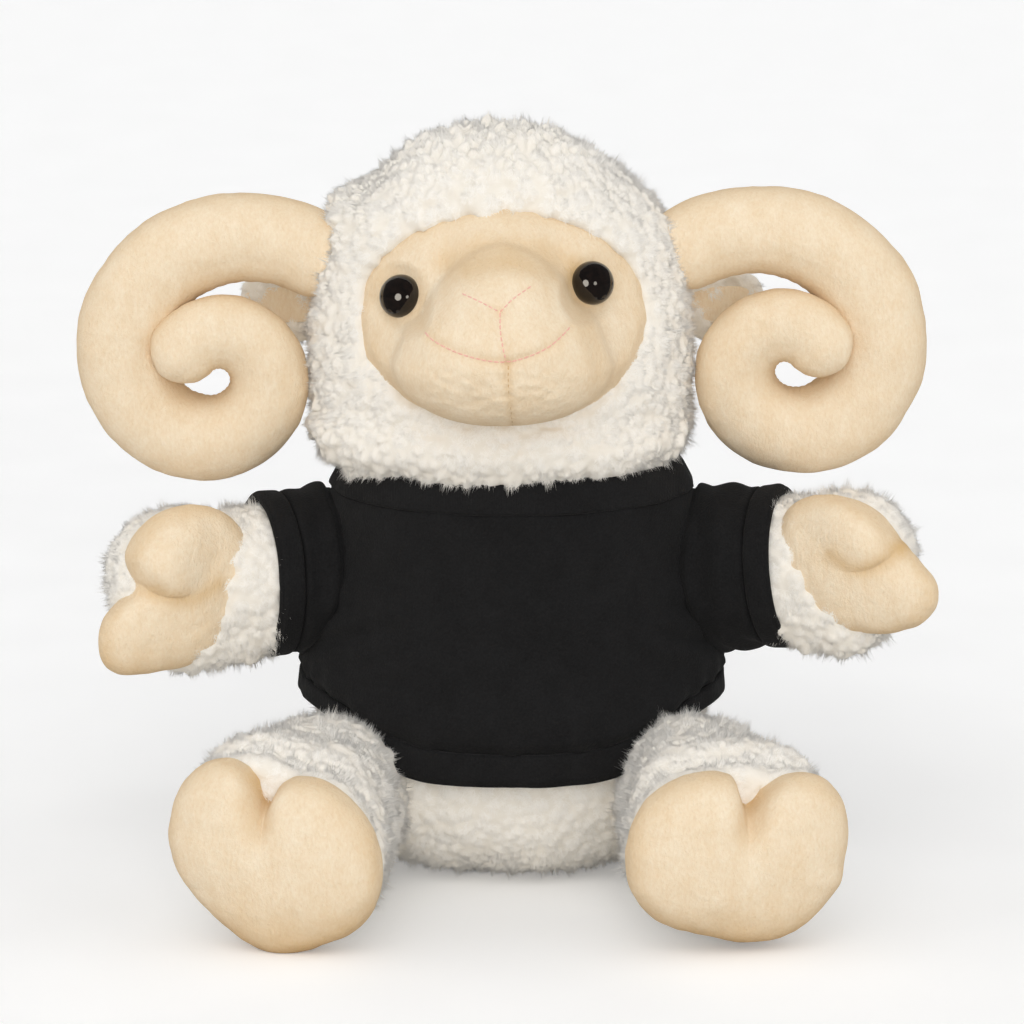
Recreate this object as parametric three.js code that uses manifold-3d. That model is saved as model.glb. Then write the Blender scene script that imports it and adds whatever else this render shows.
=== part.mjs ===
// A small plush ram that sits on its seat in a T-shirt, its arms out and its legs forward.
// Millimetres, +Z up. The face looks along -Y, and the origin is the middle of the flat seat.
// Each fabric cover is a shell, and the stuffing that fills it is a solid of its own.
import * as THREE from "three";
import { mergeVertices } from "three/addons/utils/BufferGeometryUtils.js";
import Module from "manifold-3d";

const wasm = await Module();
wasm.setup();

// Fabrics and fits
const woolWall = 5; // knitted backing with its curly pile
const plushWall = 1.6; // short-pile fabric
const jerseyWall = 1.1; // T-shirt knit
const bandWall = 1.6; // T-shirt knit sewn double
const clearance = 0.3; // between pieces that touch
const turningClearance = 0.8; // between pieces that turn against each other
const overrun = 4; // how far a cutter runs past what it cuts
const beyond = 400; // larger than the whole toy

// Torso: an egg. Half a millimetre of it is below the floor, and is cut off as the flat seat.
const torso = {
  halfWidth: 49,
  halfDepth: 42.5,
  middle: 34,
  rise: 61.6,
  drop: 34.5,
  risePower: 3.1,
  dropPower: 3.6,
};
const neckRadius = 24; // the opening where the stuffing of the head meets the torso's
const neckTube = { innerRadius: 24.4, wall: 3 }; // the fabric that joins the head to the torso
const pouch = { halfWidth: 27, halfDepth: 22, height: 20, power: 2.4 };

// Head: an egg that sits on the neck tube, to the ram's right of the torso's middle
const head = {
  halfWidth: 46.5,
  halfDepth: 41,
  middle: 126,
  rise: 56,
  drop: 30,
  risePower: 2.5,
  dropPower: 3,
};
const headOffset = 2.2;
const nod = { forward: 8, back: 8 };
const nodRoom = 2; // the torso's stuffing ends this far under the head, for it to nod

// Face: a flat oval let into the wool, with a muzzle pushed out of it
const face = { halfWidth: 35.2, halfHeight: 25.6, height: 143, recess: 3 };
const muzzle = { halfWidth: 24, length: 24, middle: 136.5, rise: 21.5, drop: 16, upPower: 1.9, downPower: 2.4 };
const muzzleRoot = 36; // the middle of the muzzle's egg lies this far in front of the head's
const eye = { diameter: 10.5, dome: 4.4, shankDiameter: 3.2, shankLength: 9 };
const eyeWasher = { diameter: 12, thickness: 1.2, crown: 0.6 };
const eyeSpread = 24.4;
const eyeRise = { left: 5.4, right: 8.6 }; // above the middle of the face
const thread = { width: 0.9, lift: 0.35 };
const noseHeight = 144.5;
const noseArm = { reach: 8.5, rise: 4.6 };
const mouth = { height: 130.5, halfWidth: 18.5, rise: 7.5, lean: 1.2 };
const chinSeam = { top: 128.6, bottom: 124.5 };

// Horns: a tapering sausage on a flat spiral that comes forward as it curls in
const horn = {
  rootRadius: 37.6,
  endRadius: 10.2,
  rootAngle: 129.6,
  sweep: 450,
  easing: 2.2,
  forward: 7.5,
  gap: 3,
  halfWidth: 10.4,
  fullWidth: 11.6,
  tipWidth: 7.4,
  depthShare: 0.86,
};
const hornHeight = { left: 152.6, right: 154.4 };

// Ears: small flaps behind the horns
const ear = { height: 137, behind: 22, length: 23, halfWidth: 8, thickness: 5.4, root: 3, gap: 1.4 };
const earLiningShare = 0.42;

// Tail: a short tuft of wool
const tail = { height: 20, reach: 7, halfLength: 8, halfWidth: 9, halfHeight: 10, root: 7.4, gap: 1.8, droop: 18 };

// Arms: the shoulder is the middle of the ball that the arm turns on
const shoulder = { out: 48, forward: 2, height: 73.5 };
const arm = { ball: 18.8, wrist: 17, wristAt: 28, handHalfHeight: 19.4, handHalfDepth: 16.6, length: 59 };
const handStationShares = [0.3, 0.55, 0.78, 0.93, 1];
const handHeightShares = [1, 1, 0.84, 0.54, 0.16];
const handDepthShares = [1, 0.92, 0.7, 0.42, 0.14];
const armYaw = 20;
const armLift = { left: 0, right: 7 };
const armSwing = 20; // how far an arm turns down
const hand = { along: 39, up: 0.5, front: 8.5, radius: 16.2, bulge: 9.5, sink: 5 };
const handTurn = { left: 0, right: 28 };
const handLobeShares = [
  { angle: -50, spread: 34, share: 0.42 },
  { angle: 115, spread: 40, share: 0.22 },
  { angle: 0, spread: 14, share: -0.3 },
];

// Legs: the hip is the middle of the ball that the leg turns on
const hip = { out: 43, forward: 27.5, height: 22.6 };
const leg = { ball: 19, length: 51 };
const legStationShares = [0, 0.3, 0.55, 0.78, 1];
const legBlendShares = [0, 0.12, 0.45, 0.85, 1];
const thighShare = 0.45; // how far the leg has grown towards its foot half way along
const legYaw = { left: 13, right: 10 };
const legSwing = 25; // how far a leg turns up
const sole = { radius: 23.2, bulge: 11, sink: 4 };
const soleWidthShare = 1.1;
const soleLobeShares = [
  { angle: 132, spread: 30, share: 0.04 },
  { angle: 48, spread: 30, share: 0.06 },
  { angle: 90, spread: 10, share: -0.36 },
  { angle: -38, spread: 30, share: -0.06 },
];
const padBackShare = 0.94; // a pad's back is this much of its rim
const padRoundness = 2.4;
const stuffHoleRadius = 9; // where the stuffing of a limb meets the torso's

// T-shirt: its hem rides up over the thighs
const shirt = {
  halfWidth: 52.5,
  halfDepth: 46.5,
  hemSeam: 37,
  neckSeam: 95,
  hemBand: 7,
  collar: 7.6,
  flare: 0.5,
};
const shirtHeightShares = [0, 0.3, 0.65, 1];
const shirtWidthShares = [1, 0.965, 0.895, 0.857];
const hemRise = { height: 13.4, start: 18, full: 46, fall: 100, back: 170 };
const hemBackShare = 0.5;
const sleeve = { length: 15.5, hemBand: 5.5, slack: 0.5, flare: 0.4 };

// Facets
const bodySteps = 20;
const limbSteps = 14;
const hornSteps = 9;
const hornRings = 17;
const smallSteps = 10;
const domeRings = 4;
const ballShares = [0.95, 0.72, 0.46, 0.2]; // the rings of a round end, as shares of a quarter turn

const fullTurn = 360;
const halfTurn = fullTurn / 2;
const quarterTurn = fullTurn / 4;
const radians = THREE.MathUtils.degToRad;
const cosine = (degrees) => Math.cos(radians(degrees));
const sine = (degrees) => Math.sin(radians(degrees));
const sides = ["left", "right"];

// Solids

function solidOf(geometry) {
  const bare = geometry.clone();
  bare.deleteAttribute("normal");
  bare.deleteAttribute("uv");
  const merged = mergeVertices(bare, 1e-4);
  return new wasm.Manifold(
    new wasm.Mesh({
      numProp: 3,
      vertProperties: Float32Array.from(merged.attributes.position.array),
      triVerts: Uint32Array.from(merged.index.array),
    }),
  );
}

function geometryOf(solid) {
  const { vertProperties, triVerts } = solid.getMesh();
  const geometry = new THREE.BufferGeometry();
  geometry.setAttribute("position", new THREE.BufferAttribute(vertProperties, 3));
  geometry.setIndex(new THREE.BufferAttribute(triVerts, 1));
  geometry.computeVertexNormals();
  return geometry;
}

// A closed solid through rings of points, with a middle point that closes each end.
function skin(rings) {
  const count = rings[0].length;
  const middle = (ring) => ring.reduce((sum, p) => sum.add(p), new THREE.Vector3()).divideScalar(count);
  const points = [...rings.flat(), middle(rings[0]), middle(rings.at(-1))];
  const [startMiddle, endMiddle] = [points.length - 2, points.length - 1];
  const lastRing = (rings.length - 1) * count;
  const faces = [];
  for (let i = 0; i < count; i++) {
    const next = (i + 1) % count;
    faces.push([startMiddle, next, i], [endMiddle, lastRing + i, lastRing + next]);
    for (let start = 0; start < lastRing; start += count) {
      const [a, b] = [start + i, start + next];
      faces.push([a, b, a + count], [b, b + count, a + count]);
    }
  }
  const volume = faces.reduce((sum, [a, b, c]) => {
    return sum + points[a].dot(new THREE.Vector3().crossVectors(points[b], points[c]));
  }, 0);
  const outward = volume < 0 ? faces.map(([a, b, c]) => [a, c, b]) : faces;
  const geometry = new THREE.BufferGeometry().setFromPoints(points);
  geometry.setIndex(outward.flat());
  return solidOf(geometry);
}

// A ring of points across the X axis at x. placeAt gives Y and Z at each turn.
function ringAcross(x, steps, placeAt) {
  return Array.from({ length: steps }, (_, i) => new THREE.Vector3(x, ...placeAt((fullTurn * i) / steps)));
}

// A round solid about the X axis from a profile of [radius, x] pairs.
function turned(profile, steps = limbSteps) {
  return lathe(profile, steps).rotate([0, 90, 0]);
}

// A round solid about the Z axis from a profile of [radius, z] pairs.
function lathe(profile, steps = limbSteps) {
  const points = profile.map(([radius, z]) => new THREE.Vector2(radius, z));
  return solidOf(new THREE.LatheGeometry(points, steps).rotateX(Math.PI / 2));
}

// How far an egg's outline draws in at a height from its middle: 1 at the middle, 0 at a pole.
function eggShare(egg, height) {
  const [reach, power] = height > 0 ? [egg.rise, egg.risePower] : [egg.drop, egg.dropPower];
  return Math.max(0, 1 - Math.abs(height / reach) ** power) ** (1 / power);
}

// An egg: elliptical from above, and fuller or flatter at its poles by its powers. It is set in by inset.
function eggSolid(egg, inset = 0, steps = bodySteps) {
  const [wide, deep] = [egg.halfWidth - inset, egg.halfDepth - inset];
  const ball = new THREE.SphereGeometry(1, steps, steps / 2).rotateX(Math.PI / 2);
  const position = ball.attributes.position;
  const p = new THREE.Vector3();
  for (let i = 0; i < position.count; i++) {
    p.fromBufferAttribute(position, i);
    const [reach, power] = p.z > 0 ? [egg.rise, egg.risePower] : [egg.drop, egg.dropPower];
    const across = Math.hypot(p.x / wide, p.y / deep);
    p.multiplyScalar((across ** power + Math.abs(p.z / (reach - inset)) ** power) ** (-1 / power));
    position.setXYZ(i, p.x, p.y, p.z + egg.middle);
  }
  return solidOf(ball);
}

function ballSolid(radius, steps = smallSteps) {
  return solidOf(new THREE.SphereGeometry(radius, steps, steps / 2));
}

// A cylinder that stands on the XY plane, elliptical where the two radii differ.
function post(radiusX, radiusY, height, steps = bodySteps) {
  const cylinder = new THREE.CylinderGeometry(1, 1, height, steps).rotateX(Math.PI / 2);
  return solidOf(cylinder.translate(0, 0, height / 2).scale(radiusX, radiusY, 1));
}

// Everything above a height.
function above(height) {
  return solidOf(new THREE.BoxGeometry(beyond, beyond, beyond).translate(0, 0, height + beyond / 2));
}

// Everything past a place on the X axis.
function past(x) {
  return above(x).rotate([0, 90, 0]);
}

function join(...solids) {
  return solids.reduce((all, one) => all.add(one));
}

function cut(solid, ...cutters) {
  return cutters.reduce((left, cutter) => left.subtract(cutter), solid);
}

// The scene

const ram = new THREE.Group();
const headGroup = new THREE.Group();
headGroup.position.x = -headOffset;
ram.add(headGroup);

const materialOf = (color, roughness) => new THREE.MeshStandardMaterial({ color, roughness, metalness: 0 });
const wool = materialOf(0xe9e2d8, 0.95);
const plush = materialOf(0xf0dcba, 0.9);
const jersey = materialOf(0x1e1e1e, 0.85);
const stuffing = materialOf(0xf7f5f0, 1);
const pinkThread = materialOf(0xe8a898, 0.7);
const tanThread = materialOf(0xcfa873, 0.7);
const eyePlastic = materialOf(0x0b0908, 0.12);
const washerPlastic = materialOf(0xf4f4f0, 0.5);
const pouchCloth = materialOf(0xdcd6c8, 0.9);

function piece(name, solid, material, parent) {
  const mesh = new THREE.Mesh(geometryOf(solid), material);
  mesh.name = name;
  parent.add(mesh);
}

// A group for one side. What is in it is made for +X, and the left side mirrors it.
function sideGroup(side, parent) {
  const group = new THREE.Group();
  group.scale.x = side === "left" ? -1 : 1;
  parent.add(group);
  return group;
}

function placedGroup(parent, position, turn) {
  const group = new THREE.Group();
  group.position.set(...position);
  group.rotation.set(...turn.map(radians), "ZYX");
  parent.add(group);
  return group;
}

// A solid made in the last group, carried into the frame that holds the first.
function carried(solid, ...groups) {
  const matrix = new THREE.Matrix4();
  groups.forEach((group) => {
    group.updateMatrix();
    matrix.multiply(group.matrix);
  });
  return solid.transform(matrix.elements);
}

// Horns

function hornLine(share) {
  const left = Math.max(0, 1 - share);
  const angle = horn.rootAngle - horn.sweep * share;
  const radius = horn.endRadius + (horn.rootRadius - horn.endRadius) * left ** horn.easing;
  const out = radius * cosine(angle) - horn.rootRadius * cosine(horn.rootAngle);
  const up = radius * sine(angle) - horn.rootRadius * sine(horn.rootAngle);
  return new THREE.Vector3(out, -horn.forward * share ** 2, up);
}

// The horn is fullest a quarter of the way along, and thins from half way to its tip.
function hornHalfWidth(share) {
  if (share > 0.5) return horn.halfWidth + (horn.tipWidth - horn.halfWidth) * (2 * share - 1);
  return horn.halfWidth + (horn.fullWidth - horn.halfWidth) * Math.sin(2 * Math.PI * share);
}

function hornRing(share, along, size) {
  const step = 1e-3;
  const middle = hornLine(share);
  const ahead = hornLine(share + step).sub(hornLine(share - step)).normalize();
  const side = new THREE.Vector3(0, 1, 0);
  const out = new THREE.Vector3().crossVectors(ahead, side).normalize();
  return Array.from({ length: hornSteps }, (_, i) => {
    const turn = (fullTurn * i) / hornSteps;
    return middle
      .clone()
      .addScaledVector(ahead, along)
      .addScaledVector(out, size * cosine(turn))
      .addScaledVector(side, size * horn.depthShare * sine(turn));
  });
}

// The horn from its round root to its round tip, set in by inset. An open root runs on past the round end.
function hornSolid(inset, rootOpen = false) {
  const [rootSize, tipSize] = [hornHalfWidth(0) - inset, hornHalfWidth(1) - inset];
  const rings = ballShares.slice(0, -1).map((share) => {
    return hornRing(0, -rootSize * sine(90 * share), rootSize * cosine(90 * share));
  });
  if (rootOpen) rings.splice(0, rings.length, hornRing(0, -hornHalfWidth(0) - overrun, rootSize));
  for (let i = 0; i <= hornRings; i++) {
    rings.push(hornRing(i / hornRings, 0, hornHalfWidth(i / hornRings) - inset));
  }
  ballShares.slice(0, -1).reverse().forEach((share) => {
    rings.push(hornRing(1, tipSize * sine(90 * share), tipSize * cosine(90 * share)));
  });
  return skin(rings);
}

function makeHorn(side, place) {
  piece(`horn_cover_${side}`, cut(hornSolid(0), hornSolid(plushWall, true)), plush, place);
  piece(`horn_stuffing_${side}`, hornSolid(plushWall + clearance), stuffing, place);
}

// Ears

function earLeaf() {
  const sizes = [ear.length / 2, ear.thickness / 2, ear.halfWidth];
  return ballSolid(1).scale(sizes).translate([ear.length / 2, 0, 0]);
}

// The lining is the front of the leaf, from past the root to the tip.
function makeEar(side, place) {
  const front = -ear.thickness / 2 + ear.thickness * earLiningShare;
  const frontHalf = past(ear.root).intersect(above(-front).rotate([90, 0, 0]));
  const whole = join(earLeaf(), ballSolid(ear.root));
  piece(`ear_back_${side}`, cut(whole, frontHalf.translate([0, clearance, 0])), wool, place);
  piece(`ear_lining_${side}`, frontHalf.intersect(earLeaf()).translate([clearance, 0, 0]), plush, place);
}

// Face

const muzzleEgg = {
  halfWidth: muzzle.halfWidth,
  halfDepth: muzzle.length,
  middle: muzzle.middle,
  rise: muzzle.rise,
  drop: muzzle.drop,
  risePower: muzzle.upPower,
  dropPower: muzzle.downPower,
};

// How far forward an egg's skin lies, inset by inset, with its middle at root.
function frontOf(egg, root, x, z, inset) {
  const share = eggShare({ ...egg, rise: egg.rise - inset, drop: egg.drop - inset }, z - egg.middle);
  const across = x / (egg.halfWidth - inset);
  return root + (egg.halfDepth - inset) * Math.sqrt(Math.max(0, share ** 2 - across ** 2));
}

function cheekPoint(x, z) {
  return new THREE.Vector3(x, -frontOf(head, 0, x, z, face.recess), z);
}

function facePoint(x, z, lift) {
  const snout = frontOf(muzzleEgg, muzzleRoot, x, z, 0);
  const cheek = cheekPoint(x, z);
  return snout > muzzleRoot ? cheek.setY(Math.min(cheek.y, -snout) - lift) : cheek.setY(cheek.y - lift);
}

function muzzleSolid(inset) {
  return eggSolid(muzzleEgg, inset, inset > 0 ? limbSteps : bodySteps).translate([0, -muzzleRoot, 0]);
}

function facePatch(grow) {
  const reach = head.halfDepth + muzzleRoot + muzzle.length;
  const tube = post(face.halfWidth + grow, face.halfHeight + grow, reach);
  return tube.rotate([90, 0, 0]).translate([0, 0, face.height]);
}

// A solid made on the Z axis, set square to the cheek where the eye is.
function onEye(solid, side) {
  const x = side === "left" ? -eyeSpread : eyeSpread;
  const z = face.height + eyeRise[side];
  const step = eye.diameter / 2;
  const across = cheekPoint(x + step, z).sub(cheekPoint(x - step, z));
  const upward = cheekPoint(x, z + step).sub(cheekPoint(x, z - step));
  const outward = new THREE.Vector3().crossVectors(across, upward).normalize();
  const turn = new THREE.Quaternion().setFromUnitVectors(new THREE.Vector3(0, 0, 1), outward);
  const matrix = new THREE.Matrix4().compose(cheekPoint(x, z), turn, new THREE.Vector3(1, 1, 1));
  return solid.transform(matrix.elements);
}

function eyeSolid() {
  const [radius, shank] = [eye.diameter / 2, eye.shankDiameter / 2];
  const dome = [0, ...ballShares.toReversed(), 1].map((share) => {
    return [share === 1 ? 0 : radius * cosine(90 * share), eye.dome * sine(90 * share)];
  });
  return lathe([[0, -eye.shankLength], [shank, -eye.shankLength], [shank, 0], ...dome]);
}

// The washer lies this far behind the eye's base, clear of the inside of the curved face.
const washerTop = plushWall + clearance + eyeWasher.crown;

function washerSolid() {
  const [hole, edge] = [eye.shankDiameter / 2 + clearance, eyeWasher.diameter / 2];
  const low = -washerTop - eyeWasher.thickness;
  return lathe([[hole, low], [edge, low], [edge, -washerTop], [hole, -washerTop], [hole, low]]);
}

// The room behind the face for the washer and the rest of the shank.
function washerRoom(grow) {
  const wide = eyeWasher.diameter / 2 + grow;
  const deep = eye.shankLength + clearance;
  return post(wide, wide, deep - washerTop + grow, limbSteps).translate([0, 0, -deep]);
}

// What the eye takes out of the face: a shallow seat, a hole for the shank, and the washer's room.
function eyeCutter(side) {
  const wide = eye.diameter / 2 + clearance;
  const hole = eye.shankDiameter / 2 + clearance;
  const seat = post(wide, wide, eye.dome + overrun, limbSteps).translate([0, 0, -clearance]);
  const shaft = post(hole, hole, eye.shankLength, smallSteps).translate([0, 0, -eye.shankLength]);
  return onEye(join(seat, shaft, washerRoom(clearance)), side);
}

function makeEyes() {
  sides.forEach((side) => {
    piece(`eye_${side}`, onEye(eyeSolid(), side), eyePlastic, headGroup);
    piece(`eye_washer_${side}`, onEye(washerSolid(), side), washerPlastic, headGroup);
  });
}

function threadAlong(points) {
  const section = new THREE.Shape();
  section.absarc(0, 0, thread.width / 2, 0, 2 * Math.PI);
  const path = new THREE.CatmullRomCurve3(points);
  const options = { extrudePath: path, steps: points.length + 2, curveSegments: 3, bevelEnabled: false };
  return solidOf(new THREE.ExtrudeGeometry(section, options));
}

function faceLine(from, to, steps, placeAt) {
  const lift = thread.lift + thread.width / 2;
  return Array.from({ length: steps + 1 }, (_, i) => {
    const [x, z] = placeAt(from + ((to - from) * i) / steps);
    return facePoint(x, z, lift);
  });
}

function makeStitching() {
  const lean = (x) => (mouth.lean * x) / mouth.halfWidth;
  const noseArmAt = (x) => [x, noseHeight + noseArm.rise * Math.abs(x / noseArm.reach) ** 1.4 + lean(x)];
  const stemBottom = mouth.height + thread.width + thread.lift;
  const nose = [
    faceLine(-noseArm.reach, 0, 4, noseArmAt),
    faceLine(0, noseArm.reach, 4, noseArmAt),
    faceLine(noseHeight, stemBottom, 4, (z) => [0, z]),
  ];
  piece("nose_stitch", join(...nose.map(threadAlong)), pinkThread, headGroup);
  const mouthAt = (x) => [x, mouth.height + mouth.rise * (x / mouth.halfWidth) ** 2 + lean(x)];
  piece("mouth_stitch", threadAlong(faceLine(-mouth.halfWidth, mouth.halfWidth, 12, mouthAt)), pinkThread, headGroup);
  const chin = faceLine(chinSeam.top, chinSeam.bottom, 4, (z) => [0, z]);
  piece("chin_seam_stitch", threadAlong(chin), tanThread, headGroup);
}

// Head

// Makes the horn and the ear of one side, and returns the sockets that they turn in.
function makeHornAndEar(side) {
  const group = sideGroup(side, headGroup);
  const hornOut = head.halfWidth * eggShare(head, hornHeight[side] - head.middle) + horn.gap;
  const hornPlace = placedGroup(group, [hornOut, 0, hornHeight[side]], [0, 0, 0]);
  makeHorn(side, hornPlace);
  const earShare = eggShare(head, ear.height - head.middle);
  const earOut = (head.halfWidth * earShare + ear.gap) * cosine(ear.behind);
  const earBack = (head.halfDepth * earShare + ear.gap) * sine(ear.behind);
  const earPlace = placedGroup(group, [earOut, earBack, ear.height], [0, 0, ear.behind]);
  makeEar(side, earPlace);
  return [
    carried(ballSolid(horn.halfWidth + turningClearance, limbSteps), group, hornPlace),
    carried(ballSolid(ear.root + turningClearance), group, earPlace),
  ];
}

function makeHead() {
  const sockets = sides.flatMap(makeHornAndEar);
  const whole = eggSolid(head);
  const neckHole = post(neckRadius, neckRadius, head.middle);
  const eyeCutters = sides.map(eyeCutter);
  const cover = cut(whole, eggSolid(head, woolWall), neckHole, facePatch(clearance), ...sockets, ...eyeCutters);
  piece("head_cover", cover, wool, headGroup);

  const outside = join(eggSolid(head, face.recess), muzzleSolid(0)).intersect(facePatch(0));
  const inside = join(eggSolid(head, face.recess + plushWall), muzzleSolid(plushWall));
  const panel = cut(outside, inside, ...eyeCutters);
  piece("face_panel", panel, plush, headGroup);

  const neckFill = post(neckRadius - clearance, neckRadius - clearance, head.middle).intersect(whole);
  const fill = join(eggSolid(head, woolWall + clearance), neckFill, muzzleSolid(plushWall + clearance));
  const eyeRooms = sides.map((side) => onEye(washerRoom(2 * clearance), side));
  piece("head_stuffing", cut(fill, ...sockets, ...eyeRooms), stuffing, headGroup);
  makeEyes();
  makeStitching();
}

// The short fabric tube between the torso and the head. It stands on the torso and ends under the head.
function makeNeckTube() {
  const across = (neckTube.innerRadius - headOffset) / torso.halfWidth;
  const torsoTop = torso.middle + torso.rise * (1 - across ** torso.risePower) ** (1 / torso.risePower);
  const [outside, inside] = [neckTube.innerRadius + neckTube.wall, neckTube.innerRadius];
  const ring = cut(post(outside, outside, head.middle, limbSteps), post(inside, inside, head.middle, limbSteps));
  const skull = eggSolid(head, -turningClearance).translate([0, 0, -head.middle]);
  const nods = [-nod.back, 0, nod.forward].map((angle) => {
    return skull.rotate([angle, 0, 0]).translate([0, 0, head.middle]);
  });
  piece("neck_tube", cut(ring.intersect(above(torsoTop + clearance)), ...nods), wool, headGroup);
}

// Pads of the hands and feet

// The outline of a pad: a circle that swells into lobes and dips between them.
function lobedRadius(radius, lobes, turn) {
  return lobes.reduce((sum, lobe) => {
    const off = THREE.MathUtils.euclideanModulo(turn - lobe.angle + halfTurn, fullTurn) - halfTurn;
    return sum + radius * lobe.share * Math.exp(-((off / lobe.spread) ** 2));
  }, radius);
}

// A pad that bulges along the X axis from a flat back. runBack carries it further back, for a cutter.
function padSolid(pad, lobes, widthShare, inset, runBack) {
  const ringAt = (share, x) => {
    return ringAcross(x, limbSteps, (turn) => {
      const size = (lobedRadius(pad.radius, lobes, turn) - inset) * share;
      return [size * widthShare * cosine(turn), size * sine(turn)];
    });
  };
  const rings = [ringAt(padBackShare, -pad.sink - runBack)];
  for (let i = 0; i <= domeRings; i++) {
    const rise = sine((84 * i) / domeRings);
    rings.push(ringAt((1 - rise ** padRoundness) ** (1 / padRoundness), (pad.bulge - inset) * rise));
  }
  return skin(rings);
}

// The hole in a limb's root, where its stuffing meets the torso's.
function stuffHole(ball) {
  return post(stuffHoleRadius, stuffHoleRadius, ball + overrun, smallSteps).rotate([0, -90, 0]);
}

// Arms

// The upper arm's profile from the ball to a place along it, this far outside the arm.
function upperArmProfile(outside, length) {
  const [ball, wrist] = [arm.ball + outside, arm.wrist + outside];
  const end = [THREE.MathUtils.lerp(ball, wrist, length / arm.wristAt), length];
  return [...ballShares.map((share) => [ball * cosine(90 * share), -ball * sine(90 * share)]), [ball, 0], end];
}

function upperArm(outside, length) {
  return turned([[0, -arm.ball - outside], ...upperArmProfile(outside, length), [0, length]]);
}

function armSolid(inset) {
  const rings = upperArmProfile(-inset, arm.wristAt).map(([radius, x]) => {
    return ringAcross(x, limbSteps, (turn) => [radius * cosine(turn), radius * sine(turn)]);
  });
  handStationShares.forEach((share, i) => {
    const x = arm.wristAt + share * (arm.length - inset - arm.wristAt);
    const deep = Math.max(inset / 4, arm.handHalfDepth * handDepthShares[i] - inset);
    const high = Math.max(inset / 4, arm.handHalfHeight * handHeightShares[i] - inset);
    rings.push(ringAcross(x, limbSteps, (turn) => [deep * cosine(turn), high * sine(turn)]));
  });
  return skin(rings);
}

function handSolid(side, inset, runBack = 0) {
  const pad = padSolid(hand, handLobeShares, 1, inset, runBack).rotate([handTurn[side], 0, 0]);
  return pad.rotate([0, 0, -90]).translate([hand.along, -hand.front, hand.up]);
}

function makeSleeve(side, place) {
  const opening = cut(upperArm(sleeve.slack, sleeve.length + overrun), past(sleeve.length + overrun));
  const tube = cut(upperArm(sleeve.slack + jerseyWall, sleeve.length), opening);
  piece(`sleeve_${side}`, tube.intersect(past(-jerseyWall)), jersey, place);
  const [start, end] = [sleeve.length + clearance, sleeve.length + clearance + sleeve.hemBand];
  const inside = sleeve.slack + sleeve.flare;
  const band = cut(upperArm(inside + bandWall, end), upperArm(inside, end + overrun));
  piece(`sleeve_hem_${side}`, band.intersect(past(start)), jersey, place);
}

// Makes an arm, and returns what it and its sleeve take up, at rest and as they swing.
function makeArm(side) {
  const group = sideGroup(side, ram);
  const position = [shoulder.out, -shoulder.forward, shoulder.height];
  const place = placedGroup(group, position, [0, -armLift[side], -armYaw]);
  const seat = handSolid(side, -clearance);
  piece(`arm_cover_${side}`, cut(armSolid(0), armSolid(woolWall), seat, stuffHole(arm.ball)), wool, place);
  piece(`hand_pad_${side}`, cut(handSolid(side, 0), handSolid(side, plushWall, overrun)), plush, place);
  const fill = armSolid(woolWall + clearance);
  const padFill = handSolid(side, plushWall + clearance, overrun);
  const behindPad = above(hand.front - hand.sink).rotate([90, 0, 0]);
  const front = join(padFill.intersect(behindPad), padFill.intersect(fill));
  piece(`arm_stuffing_${side}`, join(cut(fill, seat), front), stuffing, place);
  makeSleeve(side, place);
  const outside = sleeve.slack + jerseyWall + turningClearance;
  const room = upperArm(outside, sleeve.length);
  const tube = turned([[0, 0], ...upperArmProfile(outside, sleeve.length).slice(-2), [0, sleeve.length]]);
  return {
    rest: carried(room, group, place),
    swung: carried(join(room, tube.rotate([0, armSwing, 0])), group, place),
  };
}

// Legs

function legSolid(inset, runOn = 0) {
  const ball = leg.ball - inset;
  const rings = ballShares.map((share) => {
    const [size, back] = [ball * cosine(90 * share), -ball * sine(90 * share)];
    return ringAcross(back, limbSteps, (turn) => [size * cosine(turn), size * sine(turn)]);
  });
  legStationShares.forEach((share, i) => {
    const x = share * leg.length + (share === 1 ? runOn : 0);
    rings.push(ringAcross(x, limbSteps, (turn) => {
      const foot = padBackShare * lobedRadius(sole.radius, soleLobeShares, turn);
      const across = THREE.MathUtils.lerp(leg.ball, foot * soleWidthShare, legBlendShares[i]) - inset;
      const upward = THREE.MathUtils.lerp(leg.ball, foot, legBlendShares[i]) - inset;
      return [across * cosine(turn), upward * sine(turn)];
    }));
  });
  return skin(rings);
}

function soleSolid(inset, runBack = 0) {
  const pad = padSolid(sole, soleLobeShares, soleWidthShare, inset, runBack);
  return pad.translate([leg.length + clearance + sole.sink, 0, 0]);
}

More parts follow.
